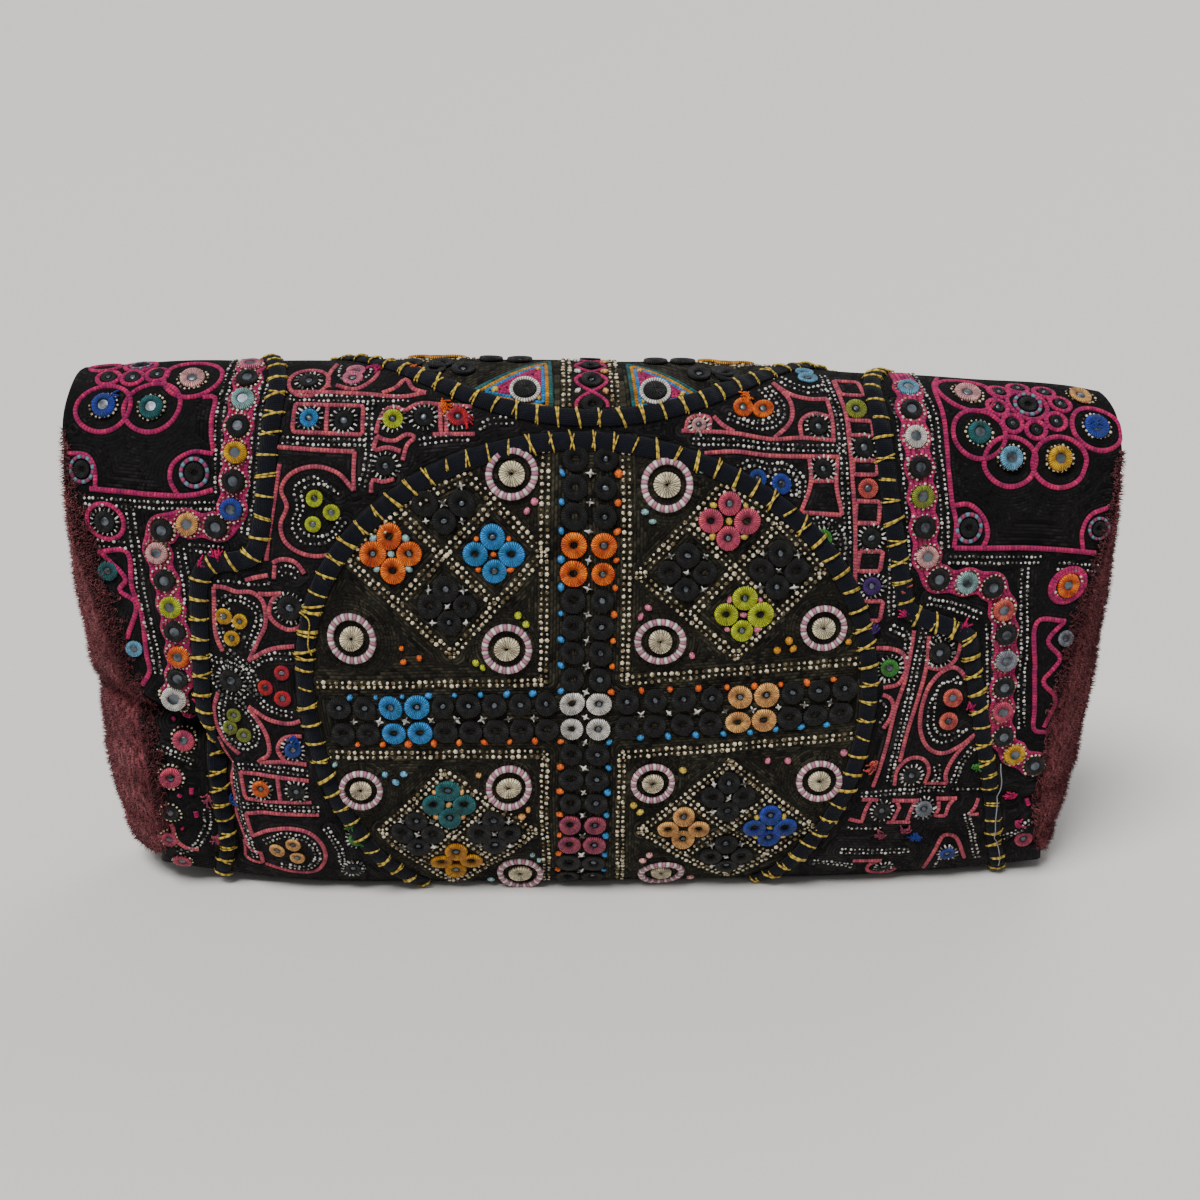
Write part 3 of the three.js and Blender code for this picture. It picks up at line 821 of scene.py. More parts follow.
def stand_on_cloth(tree, forward, turn):
    upright = {"Vector": named(tree, "up", "FLOAT_VECTOR")}
    standing = add_node(tree, "FunctionNodeAlignRotationToVector", upright, axis="Z")
    facing = add_node(tree, "FunctionNodeAlignRotationToVector", {
        "Rotation": standing.outputs[0], "Vector": forward,
    }, axis="X", pivot_axis="Z")
    twist = add_node(tree, "FunctionNodeAxisAngleToRotation", {"Axis": (0, 0, 1), "Angle": turn})
    return turned_by(tree, facing.outputs[0], twist.outputs[0])


def set_copies(tree, given, points, rotation, scale):
    shape = add_node(tree, "GeometryNodeObjectInfo", {"Object": given["Shape"]}).outputs["Geometry"]
    return add_node(tree, "GeometryNodeInstanceOnPoints", {
        "Points": points, "Instance": shape, "Rotation": rotation, "Scale": scale,
    }).outputs[0]


def make_real(tree, given, result, geometry):
    real = add_node(tree, "GeometryNodeRealizeInstances", {"Geometry": geometry}).outputs[0]
    painted = add_node(tree, "GeometryNodeSetMaterial", {"Geometry": real, "Material": given["Finish"]})
    tree.links.new(painted.outputs[0], result["Geometry"])
    print("geometry tree:", tree.name)


# %% Tree: shapes along lines
set_along, given, result = geometry_tree(
    "set_along", "Pitch", "Size", "Size Spread", "Turn Spread", "Scatter", "Seed", "Shape", "Finish",
)
tree = set_along
least_scatter = reckon(tree, "MULTIPLY", given["Scatter"], -1.0)
spaced = add_node(tree, "GeometryNodeSetPosition", {
    "Geometry": even_line(tree, given["Geometry"], given["Pitch"]),
    "Offset": random_vector(tree, least_scatter, given["Scatter"], given["Seed"]),
})
least_turn = reckon(tree, "MULTIPLY", given["Turn Spread"], -1.0)
turn = random_between(tree, least_turn, given["Turn Spread"], given["Seed"])
forward = add_node(tree, "GeometryNodeInputTangent").outputs[0]
spread = reckon(tree, "MULTIPLY", given["Size"], given["Size Spread"])
smallest = reckon(tree, "SUBTRACT", given["Size"], spread)
largest = reckon(tree, "ADD", given["Size"], spread)
make_real(tree, given, result, set_copies(
    tree, given, spaced.outputs[0], stand_on_cloth(tree, forward, turn),
    random_between(tree, smallest, largest, given["Seed"]),
))

# %% Tree: shapes on places
set_on_places, given, result = geometry_tree("set_on_places", "Unevenness", "Seed", "Shape", "Finish")
tree = set_on_places
least = reckon(tree, "SUBTRACT", 1.0, given["Unevenness"])
most = reckon(tree, "ADD", 1.0, given["Unevenness"])
stretched = add_node(tree, "ShaderNodeVectorMath", {
    0: random_vector(tree, least, most, given["Seed"]), 1: named(tree, "size", "FLOAT"),
}, operation="MULTIPLY")
along = named(tree, "along", "FLOAT_VECTOR")
make_real(tree, given, result, set_copies(
    tree, given, given["Geometry"], stand_on_cloth(tree, along, 0.0), stretched.outputs["Vector"],
))

# %% Tree: cords along lines
run_cord, given, result = geometry_tree("run_cord", "Step", "Radius", "Finish")
tree = run_cord
length = add_node(tree, "GeometryNodeSplineParameter").outputs["Length"]
measured = add_node(tree, "GeometryNodeStoreNamedAttribute", {
    "Geometry": even_line(tree, given["Geometry"], given["Step"]), "Name": "run",
    "Value": reckon(tree, "MULTIPLY", length, 1 / MM),
}, data_type="FLOAT", domain="POINT")
profile = add_node(tree, "GeometryNodeCurvePrimitiveCircle", {"Resolution": 6, "Radius": given["Radius"]})
tube = add_node(tree, "GeometryNodeCurveToMesh", {
    "Curve": measured.outputs[0], "Profile Curve": profile.outputs[0], "Fill Caps": True,
})
soft = add_node(tree, "GeometryNodeSetShadeSmooth", {"Geometry": tube.outputs[0]})
make_real(tree, given, result, soft.outputs[0])

# %% Tree: pile on a wall
grow_pile, given, result = geometry_tree("grow_pile", "Density", "Size", "Seed", "Shape", "Finish")
tree = grow_pile
roots = add_node(tree, "GeometryNodeDistributePointsOnFaces", {
    "Mesh": given["Geometry"], "Seed": given["Seed"],
    "Density": reckon(tree, "MULTIPLY", given["Density"], named(tree, "fullness", "FLOAT")),
})
lean = random_vector(tree, (-0.7, -0.5, -3.1), (0.7, 0.9, 3.1), given["Seed"])
tilt = add_node(tree, "FunctionNodeEulerToRotation", {0: lean})
small = reckon(tree, "MULTIPLY", given["Size"], 0.6)
large = reckon(tree, "MULTIPLY", given["Size"], 1.3)
make_real(tree, given, result, set_copies(
    tree, given, roots.outputs["Points"], turned_by(tree, roots.outputs["Rotation"], tilt.outputs[0]),
    random_between(tree, small, large, given["Seed"]),
))


# %% Running a tree and keeping a plain mesh
def grow(maker, tree, **values):
    step = maker.modifiers.new(tree.name, "NODES")
    step.node_group = tree
    for item in tree.interface.items_tree:
        key = item.name.lower().replace(" ", "_")
        if item.in_out == "INPUT" and key in values:
            step[item.identifier] = values[key]
    graph = bpy.context.evaluated_depsgraph_get()
    made = bpy.data.meshes.new_from_object(
        maker.evaluated_get(graph), preserve_all_data_layers=True, depsgraph=graph,
    )
    maker.modifiers.remove(step)
    start = maker.data
    maker.data = made
    bpy.data.meshes.remove(start)
    made.name = maker.name
    return maker


trimmings = []


def stitch(maker, slot, tree, **values):
    """A trimming that is sewn down on the cloth."""
    trimmings.append(finish_piece(grow(maker, tree, **values), slot))


def lay_lines(name, lines):
    """A maker's object of edges; each line is (places on the cloth, lift, thread colour)."""
    points, ups, threads, edges = [], [], [], []
    for places, lift, thread in lines:
        places = np.asarray(places, float)
        first = sum(len(part) for part in points)
        points.append(on_cloth(places[:, 0], places[:, 1], lift))
        ups.append(unit(read_table(FACING, places[:, 0], places[:, 1])))
        threads.append(np.tile(THREADS[thread], (len(places), 1)))
        edges += [(first + i, first + i + 1) for i in range(len(places) - 1)]
    mesh = make_mesh(name, np.concatenate(points), edges=edges)
    store(mesh, "up", "FLOAT_VECTOR", np.concatenate(ups))
    store(mesh, "thread", "FLOAT_COLOR", np.concatenate(threads))
    return make_object(name, mesh)


def lay_places(name, places, lift):
    """A maker's object of points; each place is (u, v, size, turn in degrees, thread colour)."""
    u, v, size, turn = (np.array([place[i] for place in places], float) for i in range(4))
    mesh = make_mesh(name, on_cloth(u, v, lift))
    across, upward = read_table(ACROSS, u, v), read_table(UPWARD, u, v)
    spin = np.radians(turn)[:, None]
    store(mesh, "up", "FLOAT_VECTOR", unit(read_table(FACING, u, v)))
    store(mesh, "along", "FLOAT_VECTOR", unit(across * np.cos(spin) + upward * np.sin(spin)))
    store(mesh, "size", "FLOAT", size * MM)
    store(mesh, "thread", "FLOAT_COLOR", [THREADS[place[4]] for place in places])
    return make_object(name, mesh)


# %% [markdown]
# ## The small shapes
# A bead, a ring of thread, a stitch and a fibre are each repeated many times, so each has only
# a few dozen faces and leaves the fine ridges to its material. They are modelled at size one,
# with Z pointing away from the cloth.


# %% Tools for the small shapes
def shape_object(name, points, faces, places):
    mesh = make_mesh(name, points, faces)
    store(mesh, "UVMap", "FLOAT2", places, "CORNER")
    return make_object(name, mesh)


def skinned(name, loops, closed):
    """A tube through loops of points, mapped along and around it; an open one has capped ends."""
    points = np.array(loops)
    count, around = points.shape[:2]
    lengths = count if closed else count - 1
    corners = ((0, 0), (1, 0), (1, 1), (0, 1))
    faces, places = [], []
    for i in range(lengths):
        for j in range(around):
            faces.append([(i + a) % count * around + (j + b) % around for a, b in corners])
            places += [((i + a) / lengths, (j + b) / around) for a, b in corners]
    if not closed:
        last = (count - 1) * around
        faces += [list(range(around)), list(range(last + around - 1, last - 1, -1))]
        places += [(0, 0)] * around + [(1, 0)] * around
    return shape_object(name, points.reshape(-1, 3), faces, places)


def turned(name, profile, sides):
    """A closed ring turned round the Z axis from a loop of (radius, height)."""
    turns = np.arange(sides) * 2 * np.pi / sides
    loops = [[(r * np.cos(a), r * np.sin(a), h) for r, h in profile] for a in turns]
    return skinned(name, loops, closed=True)


def laid_bar(name, stations):
    """A thread laid along Y, from stations of (place, height, half thickness)."""
    loops = [[(t, y, h - t), (t, y, h + t), (-t, y, h + t), (-t, y, h - t)] for y, h, t in stations]
    return skinned(name, loops, closed=False)


def domed(name, rings, sides):
    """A low closed dome from loops of (radius, height), with a point on top."""
    turn = np.arange(sides) * 2 * np.pi / sides
    points, faces, places = [], [], []
    for radius, height in rings[:-1]:
        points += [(radius * np.cos(a), radius * np.sin(a), height) for a in turn]
    top = len(points)
    points.append((0, 0, rings[-1][1]))
    for ring in range(len(rings) - 2):
        low, high = ring * sides, (ring + 1) * sides
        for k in range(sides):
            after = (k + 1) % sides
            faces.append((low + k, low + after, high + after, high + k))
            for step_k, step_ring in ((0, 0), (1, 0), (1, 1), (0, 1)):
                places.append(((k + step_k) / sides, ring + step_ring))
    last = (len(rings) - 2) * sides
    for k in range(sides):
        faces.append((last + k, last + (k + 1) % sides, top))
        places += [(k / sides, 1), ((k + 1) / sides, 1), ((k + 0.5) / sides, 2)]
    faces.append(tuple(range(sides - 1, -1, -1)))
    places += [(0, 0)] * sides
    return shape_object(name, points, faces, places)


# %% Beads, rings, stitches and fibres
eyelet = turned("eyelet", [(1.0, 0.0), (0.93, 0.22), (0.55, 0.17), (0.26, 0.02)], sides=14)
mirror_ring = turned("mirror_ring", [(1.0, -0.08), (0.94, 0.36), (0.68, 0.43), (0.42, 0.35)], sides=16)
full_eye = turned("full_eye", [(1.0, 0.0), (0.93, 0.22), (0.5, 0.2), (0.1, 0.12)], sides=14)
wide_ring = turned("wide_ring", [(1.0, 0.0), (0.96, 0.13), (0.77, 0.13), (0.72, 0.0)], sides=24)
bead = domed("bead", [(1.0, 0.0), (0.84, 0.5), (0.0, 0.68)], sides=5)
disc = domed("disc", [(1.0, 0.0), (0.72, 0.22), (0.0, 0.3)], sides=12)
ray = laid_bar("ray", [(-0.5, 0.1, 0.15), (0.5, 0.1, 0.19)])
ladder_bar = laid_bar("ladder_bar", [
    (-0.62, -0.28, 0.03), (-0.5, -0.07, 0.045), (0.0, 0.05, 0.05), (0.5, -0.07, 0.045), (0.62, -0.28, 0.03),
])
glint = laid_bar("glint", [(-0.5, 0.05, 0.04), (0.0, 0.12, 0.15), (0.5, 0.05, 0.04)])
fibre = domed("fibre", [(0.085, 0.0), (0.0, 1.0)], sides=3)
small_shapes = [eyelet, mirror_ring, full_eye, wide_ring, bead, disc, ray, ladder_bar, glint, fibre]
print("small shapes:", {shape.name: len(shape.data.polygons) for shape in small_shapes})

# %% [markdown]
# ## Tools for charting
# The embroidery is charted: points in millimetres on the cloth, read as outlines, bead
# rows and rings. These tools turn a few points into a smooth, evenly spaced line and keep the
# charted lines in lists, patch by patch, until they are stitched.

# %% Chart tools
cords = {"field": [], "yoke": [], "medallion": []}
bead_rows = {"field": [], "yoke": [], "medallion": []}
rings = {"field": [], "yoke": [], "medallion": []}
ray_lines = []
dotted = []
PAIR_GAP = {"field": 2.0, "yoke": 1.65, "medallion": 1.8}
RAY_REACH = 0.8


def evenly(line, step=1.0):
    """The line's points again, step millimetres apart."""
    line = np.asarray(line, float)
    run = np.concatenate([[0], np.cumsum(np.linalg.norm(np.diff(line, axis=0), axis=1))])
    places = np.linspace(0, run[-1], max(int(round(run[-1] / step)), 1) + 1)
    return np.stack([np.interp(places, run, line[:, 0]), np.interp(places, run, line[:, 1])], axis=-1)


def soften(points, step=1.0):
    """A smooth line through the points that doesn't overshoot at its corners."""
    points = np.asarray(points, float)
    padded = np.vstack([2 * points[0] - points[1], points, 2 * points[-1] - points[-2]])
    line = []
    for a, b, c, d in zip(padded, padded[1:], padded[2:], padded[3:]):
        before, here, after = (max(np.linalg.norm(q - p), 1e-6) ** 0.5 for p, q in ((a, b), (b, c), (c, d)))
        leave = ((b - a) / before - (c - a) / (before + here) + (c - b) / here) * here
        arrive = ((c - b) / here - (d - b) / (here + after) + (d - c) / after) * here
        t = np.linspace(0, 1, 17)[:-1, None]
        rise = 3 * t**2 - 2 * t**3
        line.append((1 - rise) * b + rise * c + (t**3 - 2 * t**2 + t) * leave + (t**3 - t**2) * arrive)
    line.append(padded[-2][None])
    return evenly(np.vstack(line), step)


def beside(line, away):
    """The same line moved sideways, to its right where away is positive."""
    ahead = unit(np.gradient(np.asarray(line, float), axis=0))
    return line + away * np.stack([ahead[:, 1], -ahead[:, 0]], axis=-1)


def circle(u, v, radius):
    turn = np.linspace(0, 2 * np.pi, max(int(6 * radius), 12) + 1)
    return np.stack([u + radius * np.cos(turn), v + radius * np.sin(turn)], axis=-1)


def sharp(points):
    """An outline that keeps its corners."""
    return np.array(points, float)


def chart_line(points):
    """A list of points is drawn smoothly, and an array keeps its corners."""
    return evenly(points) if isinstance(points, np.ndarray) else soften(points)


def couch(patch, thread, *lines):
    cords[patch] += [(chart_line(points), thread) for points in lines]


def bead_row(patch, *lines):
    bead_rows[patch] += [soften(points) for points in lines]


def bead_pair(patch, *lines):
    half_gap = PAIR_GAP[patch] / 2
    for line in map(chart_line, lines):
        bead_rows[patch] += [beside(line, -half_gap), beside(line, half_gap)]


def ring(patch, u, v, thread, radius=2.9, rays=True, dots=False):
    rings[patch].append((u, v, radius, 37.0 * (u + v), thread))
    if rays:
        ray_lines.append(circle(u, v, radius + RAY_REACH))
    if dots:
        dotted.append((u, v, radius))


# %% [markdown]
# ## Chart of the seams
# Two round medallions are let into the cloth, one on the flap and one over the top, and a
# stepped seam on each side parts the yoke from the field. A dark tape covers each seam. The
# garlands of mirrors follow the seams down the fields.

# %% Seams and garlands
FRONT_ROUND_PATCH = {"u": -3.5, "v": 68.5, "across": 93.5, "up": 87.0}
TOP_ROUND_PATCH = {"u": -3.5, "v": 255.5, "across": 93.5, "up": 93.0}
BACK_END = 366.0
SEAM_LEFT = [
    (-135, 0), (-134.5, 50), (-132, 72), (-126, 96), (-121, 113), (-117, 117), (-104.5, 120), (-101, 125),
    (-96.5, 150), (-95.5, 172), (-107, 225), (-107, BACK_END),
]
SEAM_RIGHT = [
    (142, 0), (141, 30), (132.5, 60), (122, 88), (118, 96.5), (97, 106), (94, 113), (87, 137), (84, 163),
    (85, 175), (99, 228), (99, BACK_END),
]
GARLAND_LEFT = [
    (-105.5, 184), (-104.8, 166), (-107, 140), (-109, 131.5), (-112, 129), (-126, 129), (-131.5, 124.5),
    (-132.5, 108), (-136.3, 84), (-142, 71.5),
]
GARLAND_RIGHT = [
    (96.5, 178), (94, 168), (94.5, 154), (97, 134), (99.5, 123), (104, 116), (122, 113), (127, 107),
    (133, 90.5), (137, 70), (140, 59), (146, 52), (153, 48),
]


def round_seam(patch, first, last):
    turn = np.linspace(first, last, 400)
    line = [patch["u"] + patch["across"] * np.cos(turn), patch["v"] + patch["up"] * np.sin(turn)]
    return evenly(np.stack(line, axis=-1))


HEM_TURN = np.arcsin((FRONT_ROUND_PATCH["v"] - 1) / FRONT_ROUND_PATCH["up"])
seams = {
    "tape_medallion_front": round_seam(FRONT_ROUND_PATCH, -HEM_TURN, np.pi + HEM_TURN),
    "tape_medallion_top": round_seam(TOP_ROUND_PATCH, np.pi / 2, 2.5 * np.pi),
    "tape_yoke_left": soften(SEAM_LEFT),
    "tape_yoke_right": soften(SEAM_RIGHT),
}
garland_lines = {"left": soften(GARLAND_LEFT, step=0.5), "right": soften(GARLAND_RIGHT, step=0.5)}
LEFT_MIRRORS = (
    "pink black aqua black yellow black royal black peach black shell black lime black orange black white"
).split()
RIGHT_MIRRORS = (
    "light_blue black white black olive black shell black aqua black coral black grey black rose black "
    "yellow black"
).split()
RING_RADIUS = 3.5
RADIUS_OVER_DENT = 4.2
garlands = []
for side, threads in (("left", LEFT_MIRRORS), ("right", RIGHT_MIRRORS)):
    line = garland_lines[side]
    for share, thread in zip(np.linspace(0, len(line) - 1, len(threads)), threads):
        place = line[int(round(share))]
        over_dent = side == "left" and thread == "white"
        radius = RADIUS_OVER_DENT if over_dent else RING_RADIUS
        garlands.append((*place, radius, 20.0 * len(garlands), thread))
garlands += [
    (-145.8, 165.8, 3.7, 0, "royal"), (-131.5, 165, 3.7, 30, "teal"), (113.3, 161.7, 3.7, 50, "teal"),
    (122.5, 153.8, 3.7, 10, "light_blue"), (137.5, 153.8, 3.8, 70, "yellow"),
]
worn = [(u, v, radius, 0, "light_blue") for u, v, radius in (
    (-118.2, 144.8, 4.5), (-152, 145, 4.0), (111, 131.8, 4.4), (153, 131, 3.6), (130.5, 172.6, 4.4),
    (-139, 185.6, 3.6),
)]
print(len(garlands), "mirrors ringed with thread;", len(seams), "taped seams")

# %% [markdown]
# ## Chart of the medallions
# The front medallion is quartered by a cross of two bands. Each band carries two rows of
# eyelets, mostly black with a bright block of four here and there, and each quarter holds a
# diamond of four smaller diamonds. Pairs of cream rows edge everything, and striped rings with
# a pale eye fill the corners.

# %% Tools for the medallions
EYELET = 3.9
EYELET_PITCH = 8.5
EYELET_SQUASH = 0.96
UPRIGHT_HALF = 4.45
CROSS_HALF = 4.3
DIAMOND_REACH = 5.4
TAPE_MARGIN = 4.4
FOLD_V = 170
KNOT_SPOTS = ((0, 0), (4.8, 4.6), (4.8, -4.6), (-4.8, 4.6), (-4.8, -4.6))
STAR_SPOTS = ((0, 0), (5.3, 5.1), (5.3, -5.1), (-5.3, 5.1), (-5.3, -5.1))
ACCENTS = {
    "orange": "aqua", "blue": "orange", "rose": "straw", "lime": "pink", "teal": "peach", "royal": "straw",
}
blocks = []
stars = []
knots = []


def four_eyelets(u, v, thread, turned_square=False):
    """A block of four eyelets: a square in the bands, standing on its corner in the diamonds."""
    away = DIAMOND_REACH if turned_square else UPRIGHT_HALF * 2**0.5
    for quarter in range(4):
        turn = np.radians(90 * quarter + (0 if turned_square else 45))
        place = u + away * np.cos(turn), v + EYELET_SQUASH * away * np.sin(turn)
        rings["medallion"].append((*place, EYELET, 50.0 * quarter + u, thread))
    blocks.append((u, v, thread))
    if turned_square and thread in ACCENTS:
        knots.extend((u + across, v + up, ACCENTS[thread]) for across, up in KNOT_SPOTS)


def reach_in(patch, places, margin=0.0):
    """How far out places lie in a round patch: 1 at its seam, less the margin."""
    u, v = np.asarray(places, float).T
    return np.hypot((u - patch["u"]) / (patch["across"] - margin), (v - patch["v"]) / (patch["up"] - margin))


def tucked(line, patch):
    """The line with what crosses the seam pulled back inside the tape."""
    middle = np.array([patch["u"], patch["v"]])
    out = np.maximum(reach_in(patch, line, TAPE_MARGIN), 1.0)
    return middle + (line - middle) / out[:, None]


def diamond(left, top, right, bottom, threads, lean=0.0):
    """A quarter's diamond, with its inner cross and a block of eyelets toward each corner."""
    corners = np.array([left, top, right, bottom])
    middle = corners.mean(axis=0)
    patch = FRONT_ROUND_PATCH if middle[1] < FOLD_V else TOP_ROUND_PATCH
    sides = (corners + np.roll(corners, 1, axis=0)) / 2
    for first, last in zip(corners, np.roll(corners, 1, axis=0)):
        bead_pair("medallion", tucked(evenly([first, last]), patch))
    for side in (0, 1):
        bead_pair("medallion", middle + 0.92 * (sides[[side, side + 2]] - middle))
    for (u, v), shift, thread in zip((corners + middle) / 2, (0, -lean, 0, lean), threads):
        four_eyelets(u + shift, v, thread, turned_square=True)


# %% Diamonds of the front medallion
diamond((-77.5, 122), (-44.6, 152), (-16.5, 122), (-47, 90), ("orange", "black", "blue", "black"))
diamond((12, 116), (40.5, 147.5), (68, 118), (44, 90), ("black", "rose", "black", "lime"), 2.4)
diamond((-77.5, 27.5), (-54, 50.5), (-23, 28), (-51, 0.5), ("black", "teal", "black", "mustard"))
diamond((14.5, 28.5), (45, 53.5), (75.5, 28.5), (45, 3.5), ("peach", "black", "royal", "black"))
stars += [
    (u + across, v + up) for u, v, thread in blocks if thread == "black" for across, up in STAR_SPOTS
]
print(len(blocks), "blocks of eyelets in the diamonds")


# %% Bands of the front medallion
def fill_band(stops, place_at, edges):
    """Pairs of eyelets along a band, black between the charted stops, with a knot at each side of a gap."""
    marks = sorted(stops)
    places = [marks[0]]
    for mark in marks[1:]:
        count = max(round((mark - places[-1]) / EYELET_PITCH), 1)
        places += np.linspace(places[-1], mark, count + 1)[1:].tolist()
    for place in places:
        for side in (-1, 1):
            thread = stops.get(round(place, 1), "black")
            turn = 50.0 * len(rings["medallion"])
            rings["medallion"].append((*place_at(place, side), EYELET, turn, thread))
    for gap in (np.array(places[1:]) + places[:-1]) / 2:
        stars.append(place_at(gap, 0))
        knots.extend((*place_at(gap, side * 1.85), thread) for side, thread in zip((-1, 1), edges))


def upright_band(v, side):
    return -5.8 + 0.03 * (v - 30) + UPRIGHT_HALF * side, v


def cross_band(u, side):
    middle = np.interp(u, [-86, -25, 13.5, 51, 81], [68.2, 69.5, 70.8, 72.3, 75.5])
    return u, middle + CROSS_HALF * side


warm_first = ("orange", "blue")
cool_first = ("blue", "orange")
fill_band({5.0: "black", 22.2: "mauve", 30.8: "mauve", 65.7: "white"}, upright_band, warm_first)
fill_band({74.3: "white", 116.2: "orange", 124.8: "orange", 150.3: "black"}, upright_band, cool_first)
fill_band({-86.4: "black", -69.2: "blue", -60.4: "blue", -17.6: "black"}, cross_band, warm_first)
fill_band({9.2: "black", 46.6: "peach", 55.4: "peach", 81.0: "black"}, cross_band, cool_first)
stars.append(upright_band(70, 0))
bead_pair(
    "medallion",
    [(-15.2, 156), (-17, 105), (-18.2, 82)], [(-18.6, 57), (-19.3, 40), (-18.5, 2)],
    [(8, 156), (8.5, 105), (8.3, 82.5)], [(7.8, 57), (7.5, 30), (7.6, 2)],
    [(-92, 80.5), (-50, 81), (-19, 81.5)], [(-92, 56.5), (-50, 57), (-19, 57)],
    [(9, 82.5), (50, 85.5), (87, 89.5)], [(8, 57), (50, 59.5), (88, 63)],
)
print("front medallion:", len(rings["medallion"]), "eyelets")

# %% Striped rings and the small knots beside them
striped = [
    (-25.3, 145.5), (20, 143), (-78, 95.5), (-29.4, 92), (19.4, 95), (71, 99.8), (-83, 44), (-31.4, 45),
    (18.5, 46.7), (76.5, 46.7), (-28, 6.5), (22, 6.5),
]
inner_rings = [place for place in striped if abs(place[0]) < 35]
for (u, v), thread in zip(inner_rings, "pink aqua lime pink peach straw aqua shell".split()):
    inward = -np.sign(u + 6)
    toward = np.sign((120 if v > 70 else 26) - v)
    for across, along in ((6.5, 8.0), (4.2, 10.8), (-10.3, -4.5)):
        knots.append((u + inward * across, v + toward * along, thread))
LONE_KNOTS = {
    "orange": [(-57.6, 89.2), (-62.8, 92.4), (-62.8, 88)],
    "mustard": [(60.5, 95.4), (57.1, 92.2), (62.2, 92.8), (79.7, 95.4)],
    "lime": [(-37.6, 86)], "pink": [(58, 54), (65, 54), (84, 57)], "aqua": [(-91, 53)],
    "light_blue": [(-74, 50), (-67.5, 50.2), (-70.5, 47.2)],
}
knots += [(u, v, thread) for thread, places in LONE_KNOTS.items() for u, v in places]
print(len(striped), "striped rings,", len(knots), "coloured knots and", len(stars), "white stars")

# %% [markdown]
# ## Chart of the yokes
# Between the medallions and the side seams, salmon cords draw hearts, boxes and bows. Rings of
# bright thread stand alone or in threes inside them, the lone ones with white rays, and rows of
# silver dots follow the cords.

# %% Left yoke: cords
couch(
    "yoke", "salmon",
    [(-91, 170.5), (-80, 170.3), (-68, 169.6), (-58, 168.6), (-51, 170)],
    [(-64, 170), (-60, 172), (-57.5, 175.5), (-55, 171.5), (-51, 170)],
    sharp([(-89, 166.2), (-69, 165.6), (-68.6, 156.8), (-89.2, 157.6), (-89, 166.2)]),
    sharp([(-79.5, 166), (-79.3, 157)]),
    [(-64.8, 157), (-64, 161), (-62.2, 164.4), (-59.7, 165.3), (-56.5, 164), (-55, 165.2), (-52, 166.4),
     (-46, 166), (-37, 165.5)],
    [(-64.6, 156.4), (-62, 155.2), (-59, 155), (-56, 156.8), (-53.2, 156), (-55.5, 154), (-57, 149.2)],
    [(-64.4, 156.2), (-65.4, 152.2), (-61.5, 153), (-57.5, 151.8)],
    [(-66.5, 139.8), (-65.9, 143.6), (-63.2, 143), (-59.6, 143.8)], sharp([(-48.2, 156.8), (-36, 157)]),
    sharp([(-46.4, 165.6), (-45.8, 157.2)]), sharp([(-44.4, 165.6), (-44.2, 157.2)]),
    circle(-86.5, 174.8, 6.0), [(-94, 153), (-80, 152.2), (-71, 151.8)],
    [(-71, 151.8), (-71.4, 146), (-71.5, 140.5)],
    [(-71.5, 140.5), (-76, 145.5), (-83, 147.4), (-90, 145), (-93, 140.3), (-91.6, 135.5), (-94, 130),
     (-93.3, 125), (-89, 121.6), (-82, 121), (-76.5, 123.5)],
    [(-93, 148), (-95.5, 136), (-98, 126), (-99.8, 119)], [(-79.5, 186), (-81, 176), (-80, 172)],
    [(-66, 186), (-67, 176), (-72, 171.5), (-78, 173)],
    [(-98, 118.3), (-96.3, 119.3), (-94.3, 119.6), (-92, 119.3), (-90.5, 118.3), (-89, 115.5)],
    [(-97.5, 117.7), (-98, 116), (-98.7, 113.5)],
    [(-120.7, 89.5), (-121.4, 94), (-120.4, 99.5), (-118.7, 106.2), (-117.8, 110.2)],
    [(-117.8, 110.4), (-114.5, 110.2), (-111.2, 109), (-106.5, 109), (-103.9, 106.7), (-103.6, 103.2),
     (-104.8, 98.5), (-108.7, 93), (-112.8, 87)], [(-113, 87), (-105, 91), (-97, 92.4)],
    [(-104.6, 108.6), (-101, 108.6), (-97.3, 109)],
    [(-98, 108.8), (-100, 107.5), (-101.5, 105.5), (-102.7, 102.2), (-102.1, 100.4), (-100.5, 98.7),
     (-98.2, 97.6), (-95.5, 97.8), (-93, 99.4), (-91, 102)],
    [(-107.5, 112.7), (-105, 113.5), (-102.7, 114), (-100.2, 114.5)],
    [(-126, 75.5), (-129.5, 68.5), (-129.3, 60), (-124, 54.5)],
    [(-117, 71.5), (-111, 67.4), (-104, 66.4), (-100.5, 67.5)],
    [(-117, 71), (-113.2, 62), (-113.8, 55), (-118, 52.2), (-108, 52.8), (-101, 52.4)],
    [(-108.5, 53), (-110.3, 57), (-107, 61.4), (-101, 62.2)], sharp([(-125, 47.8), (-101, 46.6)]),
    sharp([(-125, 47.8), (-124.6, 38.2), (-118, 37.2), (-101, 38.6)]), sharp([(-112, 47.2), (-112, 37.6)]),
    sharp([(-99, 33.4), (-125.5, 32.2), (-124.2, 22.8)]),
    [(-124.2, 22.8), (-117, 26), (-110, 27.4), (-103, 26), (-99, 21), (-98.5, 14), (-101, 8), (-108, 6.5),
     (-120, 8.5)], sharp([(-129, 16), (-122, 14.5), (-121, 8.6), (-128, 9), (-129, 16)]),
    [(-131, 59), (-130, 54.5), (-128.8, 50), (-130.3, 41), (-129.8, 35), (-130.3, 27), (-127.5, 17)],
)
print("left yoke: cords so far", len(cords["yoke"]))

